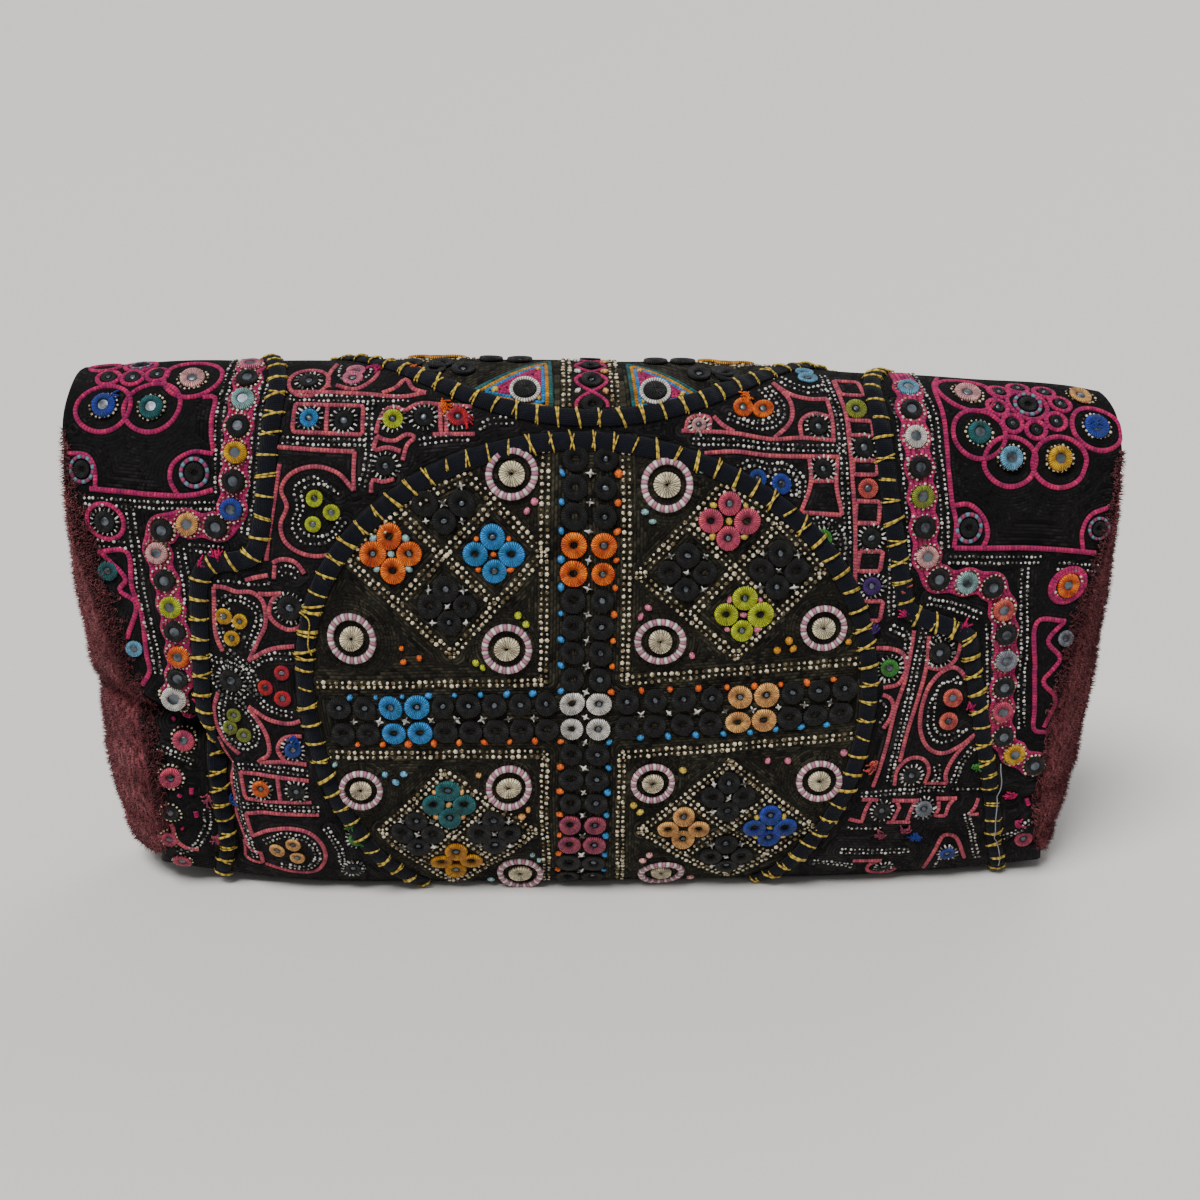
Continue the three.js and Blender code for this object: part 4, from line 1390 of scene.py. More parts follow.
# %% Left yoke: bead rows
bead_pair(
    "yoke",
    [(-91, 168.4), (-75, 167.9), (-56, 168)], [(-92, 155), (-80, 154.6), (-68, 154.4)],
    [(-67, 166), (-67, 150), (-69, 142)], [(-52, 154.5), (-44, 155.5), (-38, 156)],
)
bead_row(
    "yoke",
    [(-34.4, 158.6), (-31, 160), (-25.2, 160.4)], [(-33.6, 160.6), (-30.6, 162), (-27, 162.2)],
    [(-76, 139.5), (-83, 144.2), (-89, 141), (-88.5, 135.5), (-90.5, 130), (-88, 125), (-80, 125.5),
     (-74.5, 131)],
    [(-77.5, 141), (-83, 142.4), (-87, 140), (-86.5, 135.5), (-88.5, 130.5), (-86, 127), (-80, 127.6),
     (-76, 132)], [(-78, 185), (-77.5, 177), (-73, 172.8), (-69, 177), (-68, 185)],
    [(-96.6, 115.6), (-95.4, 117.2), (-93.8, 117.7), (-91.8, 117.2), (-90.7, 116)],
    [(-95.8, 114.4), (-94.5, 115.5), (-93, 115.3), (-92.2, 114)],
    [(-115.7, 112.2), (-112, 112.4), (-109.2, 111.8), (-104, 111.2), (-100.4, 112)],
    [(-114.7, 103.2), (-114.6, 97), (-112.4, 94.6)], circle(-120.5, 80, 6.3),
)
bead_pair(
    "yoke",
    [(-118.6, 91.5), (-119.3, 97), (-117.6, 104), (-114, 107), (-108.5, 106), (-106, 102.5), (-107.4, 98),
     (-112, 91)],
)
bead_row("yoke", [(-114, 83), (-107, 87.5), (-99, 88)])
bead_pair("yoke", [(-115, 78), (-110, 71.5), (-103, 69.5)])
bead_row("yoke", [(-113, 85.5), (-106, 89.5), (-99, 90)])
bead_pair(
    "yoke",
    [(-125, 87), (-121, 86), (-116, 84)], [(-118.5, 89.5), (-113, 83.5), (-112, 76)],
    [(-124.5, 74), (-127.2, 67.5), (-126.8, 60), (-122, 57), (-117, 60), (-116.5, 67), (-120, 73)],
    [(-125, 50), (-112, 50), (-101, 49.4)], [(-125.5, 35.2), (-112, 35.4), (-99, 36)],
    [(-128, 50), (-127.5, 30), (-124, 12)],
    [(-120, 20.5), (-112, 24.6), (-104, 23), (-101, 16), (-104, 10), (-114, 9.6)],
    [(-97, 28), (-93, 20), (-92, 12)],
)
print("left yoke: bead rows so far", len(bead_rows["yoke"]))


# %% Left yoke: rings
def trio(thread, *places, radius=2.55):
    for u, v in places:
        ring("yoke", u, v, thread, radius, rays=False)


for u, v, thread in (
    (-84.5, 161.7, "blue"), (-74.3, 161, "black"), (-60, 161.5, "lime"), (-51, 162, "black"),
    (-41, 162.3, "red"), (-62, 147.6, "black"), (-86.5, 174.8, "black"),
):
    ring("yoke", u, v, thread)
trio("lime", (-83.2, 138), (-78.4, 134), (-84.2, 130.4))
trio("pink", (-73, 180), (-73.5, 176), radius=3.2)
ring("yoke", -95.7, 104.5, "black", 3.8)
ring("yoke", -120.5, 80, "black", 3.6)
trio("yellow", (-117, 101), (-112.4, 99.6), (-116.4, 94))
trio("red", (-103, 83.6), (-109.5, 78.4), (-104.6, 75))
trio("olive", (-122.7, 68), (-125.2, 63.4), (-121, 61.2))
ring("yoke", -104.8, 57.4, "royal", 2.8)
ring("yoke", -118.5, 42.2, "orange")
ring("yoke", -105.8, 42.5, "black")
trio("peach", (-109.6, 20.8), (-115.8, 17), (-108.4, 14.8))
ring("yoke", -86.5, 24.5, "green", 2.8)
ring("yoke", -88, 10, "black", 3.0)
print("left yoke:", len(rings["yoke"]), "rings")

# %% Right yoke: cords
BOX_HALF = 3.6
couch(
    "yoke", "salmon",
    [(24.5, 159.2), (40, 159), (51, 157.6), (60, 158.4), (70, 158)],
    [(31, 152.6), (40, 153.4), (50, 152.6), (71, 153)],
    [(25.8, 159.4), (27, 163), (30.5, 164), (33.2, 163.4), (32.8, 160)],
    [(34.4, 164), (36.7, 161.4), (40, 159.4)], [(52, 158), (57.3, 163.5), (58.6, 170.5), (55.2, 177.6)],
    [(55.2, 177.6), (59.5, 173), (65, 171.6), (70, 172)], sharp([(70, 172), (69.4, 158)]),
    [(60, 158.4), (60.2, 163.5), (64.5, 166.4), (69.5, 165.4)], [(62, 153), (62.4, 144.5), (59.8, 136)],
    [(70.4, 153), (70, 144.5), (72.2, 135.4)], sharp([(60, 135.8), (72, 135.4)]),
    sharp([(62.4, 145.4), (70.2, 145.8)]),
)
for u, v, half in (
    (78.6, 177.8, 3.6), (77.9, 162.3, 2.4), (78.6, 150, 2.2), (79.8, 136.4, 3.4), (82.2, 121.3, 3.2),
    (85, 105.4, 3.2),
):
    left, right, top, bottom = u - BOX_HALF, u + BOX_HALF, v + half, v - half
    couch("yoke", "salmon", sharp([(left, top), (right, top), (right, bottom), (left, bottom), (left, top)]))
couch(
    "yoke", "salmon",
    sharp([(74.6, 181), (74, 160), (74.8, 146), (77.8, 120), (80.6, 103)]),
    [(89, 93.2), (93.7, 93), (98.3, 91.2), (100.2, 87.5), (100.2, 84), (98.4, 80.8), (94, 79.8)],
    [(94.2, 77.2), (97, 75.9), (98.7, 73), (98.4, 68.7), (96.6, 65.3)],
    [(100.4, 99), (100.8, 90.5), (100.8, 82), (99.6, 72), (98.8, 60), (97.4, 51), (95.8, 44)],
    [(105.6, 97), (107, 86.6), (106.6, 76), (105.2, 64), (104.2, 53)],
    [(107, 86.6), (112, 85.6), (116, 88), (116.8, 94), (114.5, 99.5)],
    [(122, 82), (116, 86), (110.4, 82), (108.6, 74), (109.6, 64), (113.6, 57.4), (119, 55.2), (125, 57.6),
     (129.4, 61.4)], [(103.4, 44), (103.7, 50), (107.6, 54), (112.4, 53.4), (115, 49.4), (114.6, 43.4)],
    [(129, 61), (123.4, 53.4), (121.4, 47), (122.6, 42.8)], sharp([(114.6, 43.2), (122.8, 42.6)]),
    sharp([(92.2, 39.2), (98, 38.5)]), sharp([(95.5, 38.4), (94, 35), (93, 29.8), (88.2, 31.5)]),
    sharp([(103.2, 38), (113, 37)]), sharp([(105, 37.3), (106.2, 34.8), (105.2, 32.2), (104.2, 29.2)]),
    sharp([(111.7, 36.8), (110.5, 33.5), (109.5, 29.2)]), sharp([(102, 29), (110.5, 28.3)]),
    sharp([(119.5, 36.8), (127.2, 36)]), sharp([(120.5, 35.8), (120.5, 32.8), (119, 30.5), (123, 30)]),
    sharp([(126, 35.8), (124, 33.8), (123.2, 30.2)]),
    sharp([(135.5, 34.8), (134, 31.8), (131.5, 29.8), (135.4, 29.2)]), sharp([(89.7, 12), (100, 11)]),
    [(98.7, 10.7), (95.4, 8.6), (94.8, 4.6), (97.2, 1.8), (103, 1.8), (105, 4.6)],
    [(115, 3), (118.6, 12), (124, 19.4), (128, 18), (130, 8)],
)
print("right yoke: cords so far", len(cords["yoke"]))

# %% Right yoke: bead rows
bead_pair(
    "yoke",
    [(28, 156), (40, 156), (52, 155.3), (72, 155.6)],
    [(39, 164), (46, 161.6), (52.5, 162.5), (55.4, 168), (53, 175)],
)
bead_row(
    "yoke",
    [(42, 163.8), (48, 163.2), (52.4, 165.4), (52.6, 170), (50, 174)],
    [(55, 181), (60, 176), (66, 174), (71, 176)], [(57, 183.5), (61, 178.5), (66, 176.2), (70.5, 178)],
)
bead_pair(
    "yoke",
    [(40, 147.6), (45, 150.2), (50, 149.2), (55, 149.4), (59.4, 146), (60, 140.5)],
    [(49.8, 144.6), (51, 147.2), (54, 147.8), (57, 145.4), (57.4, 141)],
    [(61, 132), (66.5, 133.8), (72.2, 130), (73.5, 122)], [(72, 184), (71.8, 160), (73, 140), (75, 124)],
    [(87.6, 131), (90, 116), (92, 104)], [(93, 100), (98.6, 97), (99, 90)],
    [(110.6, 99), (106.8, 94), (109, 88)], [(117.5, 50.5), (118.5, 46), (117.5, 41)],
    [(86, 17.4), (96, 16.4), (110, 15.4)], [(76, 12), (84, 11), (89, 9)],
    [(131, 30), (134, 20), (134.5, 8)],
)
bead_row("yoke", [(93.8, 75), (96, 73.4), (96.4, 70.4), (95, 67.2)])
bead_pair("yoke", [(103.6, 104), (103.6, 90), (103.2, 70), (101.2, 46)])
bead_row(
    "yoke",
    [(120, 80.6), (114.5, 81.4), (111.4, 75), (112, 65), (116, 59.6), (122, 60.4), (126, 63.5)],
    [(118.6, 82.6), (113.4, 79.8), (113, 71), (114, 65.5), (118, 61.8), (123, 63)],
)
bead_pair("yoke", [(129.5, 56), (126, 50), (125, 43)], [(92, 41), (104, 41.4), (122, 40)])
bead_row(
    "yoke",
    [(125.5, 39.6), (130, 39.2), (135, 38.6)], [(88, 27.5), (94, 26.6), (100, 26.4)],
    [(119, 4), (122, 12), (126, 15)],
)
print("right yoke: bead rows so far", len(bead_rows["yoke"]))

# %% Right yoke: rings
ring("yoke", 29.8, 161.2, "shell", 2.2)
trio("orange", (43.8, 167.4), (49.7, 167.2), radius=3.2)
ring("yoke", 65.2, 162.2, "black")
trio("light_blue", (66.5, 186), (66.8, 181.5), radius=3.0)
trio("royal", (46.6, 145.4), (53.7, 144.2), radius=3.0)
ring("yoke", 66, 149.2, "black")
ring("yoke", 67, 128, "green")
for u, v, thread in (
    (77.7, 168.6, "olive"), (78.3, 156.2, "black"), (79.5, 143.7, "coral"), (81.6, 128.5, "black"),
    (84, 113.5, "purple"),
):
    ring("yoke", u, v, thread, 3.1, rays=thread in ("purple", "black"))
ring("yoke", 94.7, 86.5, "green", 3.2)
ring("yoke", 110.3, 91.2, "black", 3.8)
trio("coral", (118.5, 75.2), (118.7, 67), radius=3.4)
for u, v, thread, radius in (
    (109, 47.6, "black", 2.9), (99.8, 34.2, "black", 3.0), (115, 33.8, "grey", 3.0),
    (100.6, 6.4, "black", 2.4), (124, 12, "royal", 2.6),
):
    ring("yoke", u, v, thread, radius)
print("both yokes:", len(rings["yoke"]), "rings")

# %% [markdown]
# ## Chart of the fields
# The two side fields are black, with hot pink cords. Each has a rosette of ringed petals in its
# upper corner, a square below it with loops in its corners, and a tall frame with a zigzag.

# %% Left field: cords
for place in (
    (-146.2, 165.2, 8.2), (-131.6, 165.4, 8.4), (-121.6, 177, 8.6), (-147.2, 177.6, 3.5), (-139.8, 177, 3.3),
    (-132.6, 178.2, 3.3), (-139, 185.6, 4.8), (-150, 187, 4.6),
):
    couch("field", "hot_pink", circle(*place))
couch(
    "field", "hot_pink",
    [(-117, 168.4), (-113.6, 168.6), (-113.2, 160), (-112.6, 151)],
    [(-112.6, 150.6), (-119, 151), (-124.4, 147.4), (-125.6, 142.4), (-123.8, 138)],
    [(-113, 139.8), (-120, 138), (-131, 137.8), (-140, 138.4), (-150, 139)],
    [(-148.4, 139.2), (-148.2, 145.6), (-150.6, 149.4), (-156.5, 150)], circle(-146.7, 128.8, 5.6),
    [(-151, 119), (-142, 119.6), (-143.6, 108), (-143.2, 100), (-146.4, 86), (-147.6, 80), (-151.5, 75)],
    [(-150, 118.6), (-144.8, 110.6), (-148, 107), (-144, 103.4), (-150.8, 91)],
)
for u, v, lean in (
    (-148.8, 35, 0.4), (-144.4, 36.2, 1.2), (-144, 27, 1.6), (-150.6, 21, -0.2), (-147.5, 61, 0.2),
):
    couch("field", "magenta", [(u, v), (u + 0.8 * np.cos(lean), v + 2.4 * np.sin(lean))])
couch("field", "salmon", [(-154, 23), (-153, 17), (-149.5, 13), (-145, 12)])
print("left field: cords so far", len(cords["field"]))

# %% Left field: bead rows
bead_pair(
    "field",
    [(-110.6, 199), (-110.8, 170), (-110.8, 152), (-111.4, 139)], [(-152, 135), (-130, 134.6), (-113, 135)],
    [(-138.6, 133), (-139, 120), (-141.4, 104), (-143, 88), (-144.6, 80)],
    [(-99.6, 176), (-99.8, 160), (-101.4, 142), (-105, 127)],
    [(-125, 121.6), (-125.8, 112), (-129, 97), (-131.5, 84)], [(-150, 121.8), (-142, 121.6)],
    [(-122, 122), (-112, 121.6)], [(-153, 52.7), (-148, 50.5), (-143, 47.5)],
    [(-152, 10), (-146, 14), (-141.5, 22), (-140, 30)],
)
print("left field: bead rows so far", len(bead_rows["field"]))

# %% Left field: rings
for u, v, thread, radius in (
    (-121.6, 175.9, "shell", 3.9), (-147.2, 177.6, "black", 2.4), (-139.8, 177, "black", 2.3),
    (-132.6, 178.2, "black", 2.3), (-146.7, 128.8, "black", 3.2), (-149.6, 113, "teal", 3.0),
    (-149.8, 87.6, "light_blue", 2.8), (-144, 55.5, "rose", 3.4), (-150.5, 42, "rose", 3.6),
    (-152.5, 28.5, "black", 3.0), (-155, 16, "rose", 2.8), (-150.5, 4, "rose", 3.2),
):
    has_rays = thread == "black" and radius > 3
    ring("field", u, v, thread, radius, has_rays, dots=v < 60 or thread == "shell")
print("left field:", len(rings["field"]), "rings")

# %% Right field: cords
RIGHT_PETALS = (
    (124, 178.4), (130.8, 181.4), (138, 179.4), (140.8, 173.6), (137.6, 166.4), (131, 163.2), (124, 165.2),
    (120.8, 171),
)
for place in (
    (113.4, 161.4, 8.0), (122.5, 152.6, 8.0), (137.8, 152.6, 8.4), (150.4, 165, 8.0), (113.6, 177.4, 8.4),
    (130.5, 172.6, 5.8),
):
    couch("field", "hot_pink", circle(*place))
for u, v in RIGHT_PETALS:
    couch("field", "hot_pink", circle(u, v, 3.1))
couch("field", "hot_pink", circle(148, 112, 5.8), circle(148, 112, 4.7))
couch(
    "field", "hot_pink",
    [(108, 188), (104.4, 178), (103.2, 165), (103.6, 150), (105, 139.6), (107, 133), (107.5, 125.5)],
    [(107.5, 125.5), (118, 125.3), (130, 125), (140, 124.2), (154, 122.8)],
    [(105, 138.6), (110, 139.2), (115.4, 134.6), (117.4, 129), (116.6, 125.4)],
    [(149.6, 123.4), (147.6, 130), (149.2, 135.4), (154.5, 138)],
    [(151, 99.6), (141.4, 100.2), (145, 84), (148.8, 69), (150.8, 61), (156.5, 60)],
    [(150.6, 99.4), (147, 93), (153.2, 86.2), (149.2, 79), (155.6, 72), (154, 62)],
)
couch("field", "magenta", [(146.5, 36.5), (147.3, 34)], [(153.5, 33), (154.3, 30.5)])
print("right field: cords so far", len(cords["field"]))

# %% Right field: bead rows
bead_pair(
    "field",
    [(100.4, 196), (100, 172), (100.4, 152), (102.8, 137), (104.6, 126)],
    [(107, 121.8), (120, 121.4), (136, 120.8)],
    [(132, 118), (134.6, 107), (139, 92), (142, 77), (145.6, 63)],
    [(90, 172), (90, 158), (92.4, 137), (96, 119)], [(103, 108.4), (112, 106.4), (120.6, 103)],
    [(125, 100), (130, 82), (134, 66)], [(143, 118.6), (156, 117.6)], [(144, 14), (149, 18), (155, 24)],
)
print("right field: bead rows so far", len(bead_rows["field"]))

# %% Right field: rings
for u, v, thread, radius in (
    (114, 176.8, "shell", 3.9), (150.2, 165.6, "royal", 3.9), (149, 179.5, "peach", 3.6),
    *((u, v, "black", 2.0) for u, v in RIGHT_PETALS), (148, 112, "orange", 3.8), (153, 93.5, "grey", 2.6),
    (153.8, 46, "mauve", 2.4), (153, 14, "rose", 3.2),
):
    has_dots = thread in ("shell", "royal", "peach", "orange")
    ring("field", u, v, thread, radius, rays=False, dots=has_dots)
print("both fields:", len(rings["field"]), "rings")

# %% [markdown]
# ## Chart of the top medallion and the back
# The top medallion lies over the fold. Its near edge shows two triangles of nested coloured
# cords beside a pink strip of rings. The back isn't seen in the photograph, so it is finished
# plainly in the same manner: the triangles again at the far edge, blocks of eyelets between,
# and straight garlands down the fields.


# %% Triangles of the top medallion
TRIANGLES = (
    [(-38.5, 169.6), (-13.6, 164.4), (-14.4, 190.5)], [(33.5, 169), (11, 164.4), (10.2, 189.5)],
)
TRIANGLE_CORDS = (
    (1.0, "teal"), (0.85, "mustard"), (0.7, "blue"), (0.56, "hot_pink"), (0.43, "hot_pink"),
    (0.3, "hot_pink"),
)


def nested_triangle(corners):
    corners = np.asarray(corners, float)
    sides = np.linalg.norm(np.roll(corners, 1, axis=0) - np.roll(corners, -1, axis=0), axis=1)
    middle = (corners * sides[:, None]).sum(axis=0) / sides.sum()
    for keep, thread in TRIANGLE_CORDS:
        line = middle + keep * (corners - middle)
        couch("medallion", thread, np.vstack([line, line[:1]]))
    knots.extend((u, v, "straw") for u, v in middle + 0.53 * (corners - middle))


FAR = 2 * TOP_ROUND_PATCH["v"]
triangle_eyes = []
for far in (False, True):
    for corners in TRIANGLES:
        nested_triangle([(u, FAR - v if far else v) for u, v in corners])
    triangle_eyes += [(u, FAR - 171.6 if far else 171.6) for u in (-21.6, 17.8)]
print("triangles:", len(triangle_eyes))

# %% Column, bands and diamonds of the top medallion
COLUMN_U = -1.6
COLUMN_START = 167
COLUMN_PITCH = 9.8
COLUMN_EYELETS = 19
for step in range(COLUMN_EYELETS):
    v = COLUMN_START + COLUMN_PITCH * step
    rings["medallion"].append((COLUMN_U, v, 3.2, 30.0 * step, "black"))
    between = v + COLUMN_PITCH / 2
    knots += [(COLUMN_U - 4.2, between, "white"), (COLUMN_U + 4.2, between, "peach")]
column = np.arange(166, FAR - 166, 0.5)
for side in (-1, 1):
    sway = 4.8 * side * np.cos(np.pi * (column - COLUMN_START) / COLUMN_PITCH)
    couch("medallion", "hot_pink", np.stack([COLUMN_U + sway, column], axis=-1))
for u in (-9.2, 5.4):
    bead_pair("medallion", [(u, 164.5), (u, 255), (u, FAR - 164.5)])
for v in (238, 273):
    bead_pair("medallion", [(-93, v), (-11, v)], [(7.5, v), (86, v)])
for u, thread in (
    (-80, "black"), (-62, "blue"), (-44, "black"), (-26, "black"), (20, "black"), (38, "black"),
    (56, "peach"), (74, "black"),
):
    four_eyelets(u, TOP_ROUND_PATCH["v"], thread)
for side, accent in ((-1, "teal"), (1, "rose")):
    for v in (211, 300):
        u = TOP_ROUND_PATCH["u"] + 46 * side
        diamond((u - 29, v), (u, v + 25), (u + 29, v), (u, v - 25), ("black", accent, "black", "mustard"))
for u, v in ((-52, 180), (-45, 176.5), (45, 178), (37, 176), (-28, 196), (24, 196)):
    four_eyelets(u, v, "black")
rings["medallion"] = [
    place for place in rings["medallion"] if min(
        reach_in(patch, place[:2], place[2]) for patch in (FRONT_ROUND_PATCH, TOP_ROUND_PATCH)
    ) < 1
]
print("medallions:", len(rings["medallion"]), "eyelets,", len(bead_rows["medallion"]), "bead rows")

# %% Back of the yokes and fields
BACK_THREADS = (
    "blue black peach black white black lime black coral black yellow black teal black orange black"
).split()
GARLAND_IN = 12.5
ROUNDS_IN = 36
for side, seam in ((-1, -107), (1, 99)):
    for step, thread in enumerate(BACK_THREADS):
        ring("field", seam + side * GARLAND_IN, 226 + 9 * step, thread, 4.0, rays=False)
    for away in (7.3, 17.7):
        couch("field", "hot_pink", [(seam + side * away, 221), (seam + side * away, 366)])
    bead_pair("field", [(seam + side * 21, 218), (seam + side * 21, 368)])
    couch("field", "hot_pink", [(seam + side * 25, 232), (seam + side * 48, 232)])
    for v, thread in ((246, "royal"), (276, "teal"), (306, "royal"), (336, "teal")):
        u = seam + side * ROUNDS_IN
        ring("field", u, v, thread, 4.2, rays=False)
        couch("field", "hot_pink", circle(u, v, 8.4), circle(u, v + 15, 3.4))
    for step, thread in enumerate("red black lime black blue black peach".split()):
        turn = np.radians(8 + 10 * step)
        u = TOP_ROUND_PATCH["u"] + side * 107 * np.cos(turn)
        if abs(u) < abs(seam) - 7:
            ring("yoke", u, TOP_ROUND_PATCH["v"] + 106 * np.sin(turn), thread)
    couch("yoke", "salmon", [(seam - side * 8, 352), (seam - side * 30, 366), (side * 14, 368)])
    bead_pair("yoke", [(seam - side * 6, 345), (seam - side * 28, 360), (side * 14, 362.5)])
print("with the back:", {patch: len(lines) for patch, lines in cords.items()}, "cords")

# %% [markdown]
# ## The loose thread
# One grey thread has come out of the seam at the lower right and hangs down to the hem. It is a
# free cord, so it comes first among the pieces: a curve with its true length and thickness.

# %% Loose thread
THREAD_WIDTH = 0.34 * MM
hanging = soften([(140.6, 50), (142.4, 42), (142.2, 28), (142.8, 12), (141.8, 3)])
hanging_lift = np.interp(np.arange(len(hanging)), [0, 4, len(hanging) - 1], [1.2, 2.6, 2.2])
hanging_points = on_cloth(hanging[:, 0], hanging[:, 1], hanging_lift)
thread_curve = bpy.data.curves.new("loose_thread", "CURVE")
thread_curve.dimensions = "3D"
thread_curve.bevel_depth = THREAD_WIDTH / 2
thread_curve.bevel_resolution = 2
thread_line = thread_curve.splines.new("POLY")
thread_line.points.add(len(hanging_points) - 1)
thread_line.points.foreach_set("co", np.c_[hanging_points, np.ones(len(hanging_points))].ravel())
loose_thread = make_object("loose_thread", thread_curve)
thread_length = float(np.linalg.norm(np.diff(hanging_points, axis=0), axis=1).sum())
grey_thread, tree, shader = new_material("grey_thread", 0.7, sheen=0.2)
grey_cotton = faded(tree, colour("85878a"), amount=0.4, patch_size=0.004)
dress(tree, shader, grey_cotton["Color"], grey_cotton["Fluff"], depth=0.1)
thread_curve.materials.append(grey_thread)
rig.ride(loose_thread, "root")
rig.slot(loose_thread, "tape")
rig.cord(
    loose_thread, exit=hanging_points[0], length=thread_length, diameter=THREAD_WIDTH, far_end="bare",
    stiffness="limp", lay="hanging",
)
print("loose thread:", round(thread_length / MM, 1), "mm")

# %% [markdown]
# ## The stitched grounds
# Each patch is a sheet cut to its seams and laid on the bent cloth, closely meshed so that it
# takes every ripple. For each point the nearest charted line is found, and the distance to it
# and the length along it are stored for the chain stitch. The outer edges turn under, as the
# cloth does at the sides and the hem.

# %% Cloth and its stitch rows
CELL = 1.25
STRIPED_ROWS = 8.2
roll_steps = np.linspace(0, np.pi * EDGE_ROLL, 5)[1:]
columns = np.concatenate([
    -HALF_WIDTH - roll_steps[::-1], np.linspace(-HALF_WIDTH, HALF_WIDTH, int(2 * HALF_WIDTH / CELL) + 1),
    HALF_WIDTH + roll_steps,
])
rows = np.concatenate([
    -roll_steps[::-1], np.linspace(0, BACK_V, int(BACK_V / CELL) + 1), BACK_V + roll_steps,
])
cloth_u, cloth_v = (grid.ravel() for grid in np.meshgrid(columns, rows))
cloth_points = on_cloth(cloth_u, cloth_v)
cells = grid_quads(len(rows), len(columns))
middle_u = np.clip(cloth_u[cells].mean(axis=1), -HALF_WIDTH, HALF_WIDTH)
middle_v = np.clip(cloth_v[cells].mean(axis=1), 0, BACK_V)

drawn = [line for patch in cords.values() for line, _ in patch]
drawn += [line for patch in bead_rows.values() for line in patch[::2]]
drawn += list(seams.values()) + list(garland_lines.values())
drawn += [circle(u, v, STRIPED_ROWS) for u, v in striped]
drawn_points = np.concatenate(drawn)
drawn_ahead = np.concatenate([unit(np.gradient(line, axis=0)) for line in drawn])
finder = KDTree(len(drawn_points))
for i, (u, v) in enumerate(drawn_points):
    finder.insert((u, v, 0), i)
finder.balance()
nearest = [finder.find((u, v, 0)) for u, v in zip(cloth_u, cloth_v)]
cloth_row = np.array([found[2] for found in nearest])
cloth_ahead = drawn_ahead[[found[1] for found in nearest]]
cloth_run = cloth_u * cloth_ahead[:, 0] + cloth_v * cloth_ahead[:, 1]
print(len(cells), "cells of cloth,", len(drawn_points), "points of charted lines")


# %% Cutting the patches
def inside_round(patch):
    return reach_in(patch, np.stack([middle_u, middle_v], axis=-1)) < 1


def seam_at(seam):
    return np.interp(middle_v, [v for _, v in seam], [u for u, _ in seam])


in_front, on_top = inside_round(FRONT_ROUND_PATCH), inside_round(TOP_ROUND_PATCH)
out_left, out_right = middle_u < seam_at(SEAM_LEFT), middle_u > seam_at(SEAM_RIGHT)
in_yoke = ~(in_front | on_top | out_left | out_right)
patches = {
    "field_left": (out_left, field_ground, "field"), "field_right": (out_right, field_ground, "field"),
    "yoke_left": (in_yoke & (middle_u < FRONT_ROUND_PATCH["u"]), yoke_ground, "yoke"),
    "yoke_right": (in_yoke & (middle_u >= FRONT_ROUND_PATCH["u"]), yoke_ground, "yoke"),
    "medallion_front": (in_front, medallion_ground, "medallion"),
    "medallion_top": (on_top, medallion_ground, "medallion"),
}
grounds = {}
for name, (chosen, finish, slot) in patches.items():
    kept, faces = np.unique(cells[chosen], return_inverse=True)
    quads = faces.reshape(-1, 4)
    stitch_rows = {"row": cloth_row[kept], "run": cloth_run[kept]}
    sheet = make_sheet(f"{name}_cloth", cloth_points[kept], quads, finish, **stitch_rows)
    cut_u, cut_v = cloth_u[cells[chosen]], cloth_v[cells[chosen]]
    area = float((np.ptp(cut_u, axis=1) * np.ptp(cut_v, axis=1)).sum()) * MM * MM
    width, length = np.ptp(cloth_u[kept]) * MM, np.ptp(cloth_v[kept]) * MM
    grounds[name] = (finish_piece(sheet, slot, name), width, length, area)

# %% [markdown]
# ## Lining, pocket and side walls
# Inside, the flap and back are lined with plain black cotton, and the pocket's front and base
# are the same cloth. The side walls are soft panels that swell between the front and the back.
# The pocket and the side walls get their thickness from Solidify, and the wool gets real fibres on its surface.

# %% Lining and pocket
SHEET_HALF = 156
SHEET_COLUMNS = 79
LINING_DEPTH = -2.75
POCKET_DEPTH = -3.4
MOUTH_V = 148.0
POCKET_STEP = 8
POCKET_WALL = 1.6


def plain_sheet(name, rows, lift, inward=False):
    u, v = np.meshgrid(np.linspace(-SHEET_HALF, SHEET_HALF, SHEET_COLUMNS), rows)
    points = on_cloth(u, v, np.broadcast_to(lift[:, None], u.shape), rolled=False).reshape(-1, 3)
    quads = grid_quads(*u.shape)
    flat = np.stack([u.ravel(), v.ravel()], axis=-1)
    return make_sheet(name, points, quads[:, ::-1] if inward else quads, lining_cloth, flat)


def thicken(piece, thickness):
    wall = piece.modifiers.new("wall", "SOLIDIFY")
    wall.thickness = thickness * MM
    wall.offset = -1


lining_rows = np.linspace(0.5, BACK_V - 0.5, 95)
lining = plain_sheet("lining", lining_rows, np.full(len(lining_rows), LINING_DEPTH), inward=True)
finish_piece(lining, "backing", "outer_panel")
pocket_rows = np.concatenate([
    np.linspace(BASE_V + 0.8, -POCKET_STEP, 20), np.linspace(-7, 0, 8), np.linspace(4, MOUTH_V, 37),
])
step_out = np.clip((pocket_rows + POCKET_STEP) / POCKET_STEP, 0, 1)
pocket = plain_sheet("pocket_cloth", pocket_rows, POCKET_DEPTH * (3 * step_out**2 - 2 * step_out**3))
thicken(pocket, POCKET_WALL)
finish_piece(pocket, "backing", "pocket")

# %% Side walls
GUSSET_FROM = 4.0
GUSSET_TO = 136.0
GUSSET_OUT = 1.9
GUSSET_INSET = 2.8
WOOL_WALL = 2.0
PILE_LENGTH = 1.7 * MM
PILE_DENSITY = 1.8e6
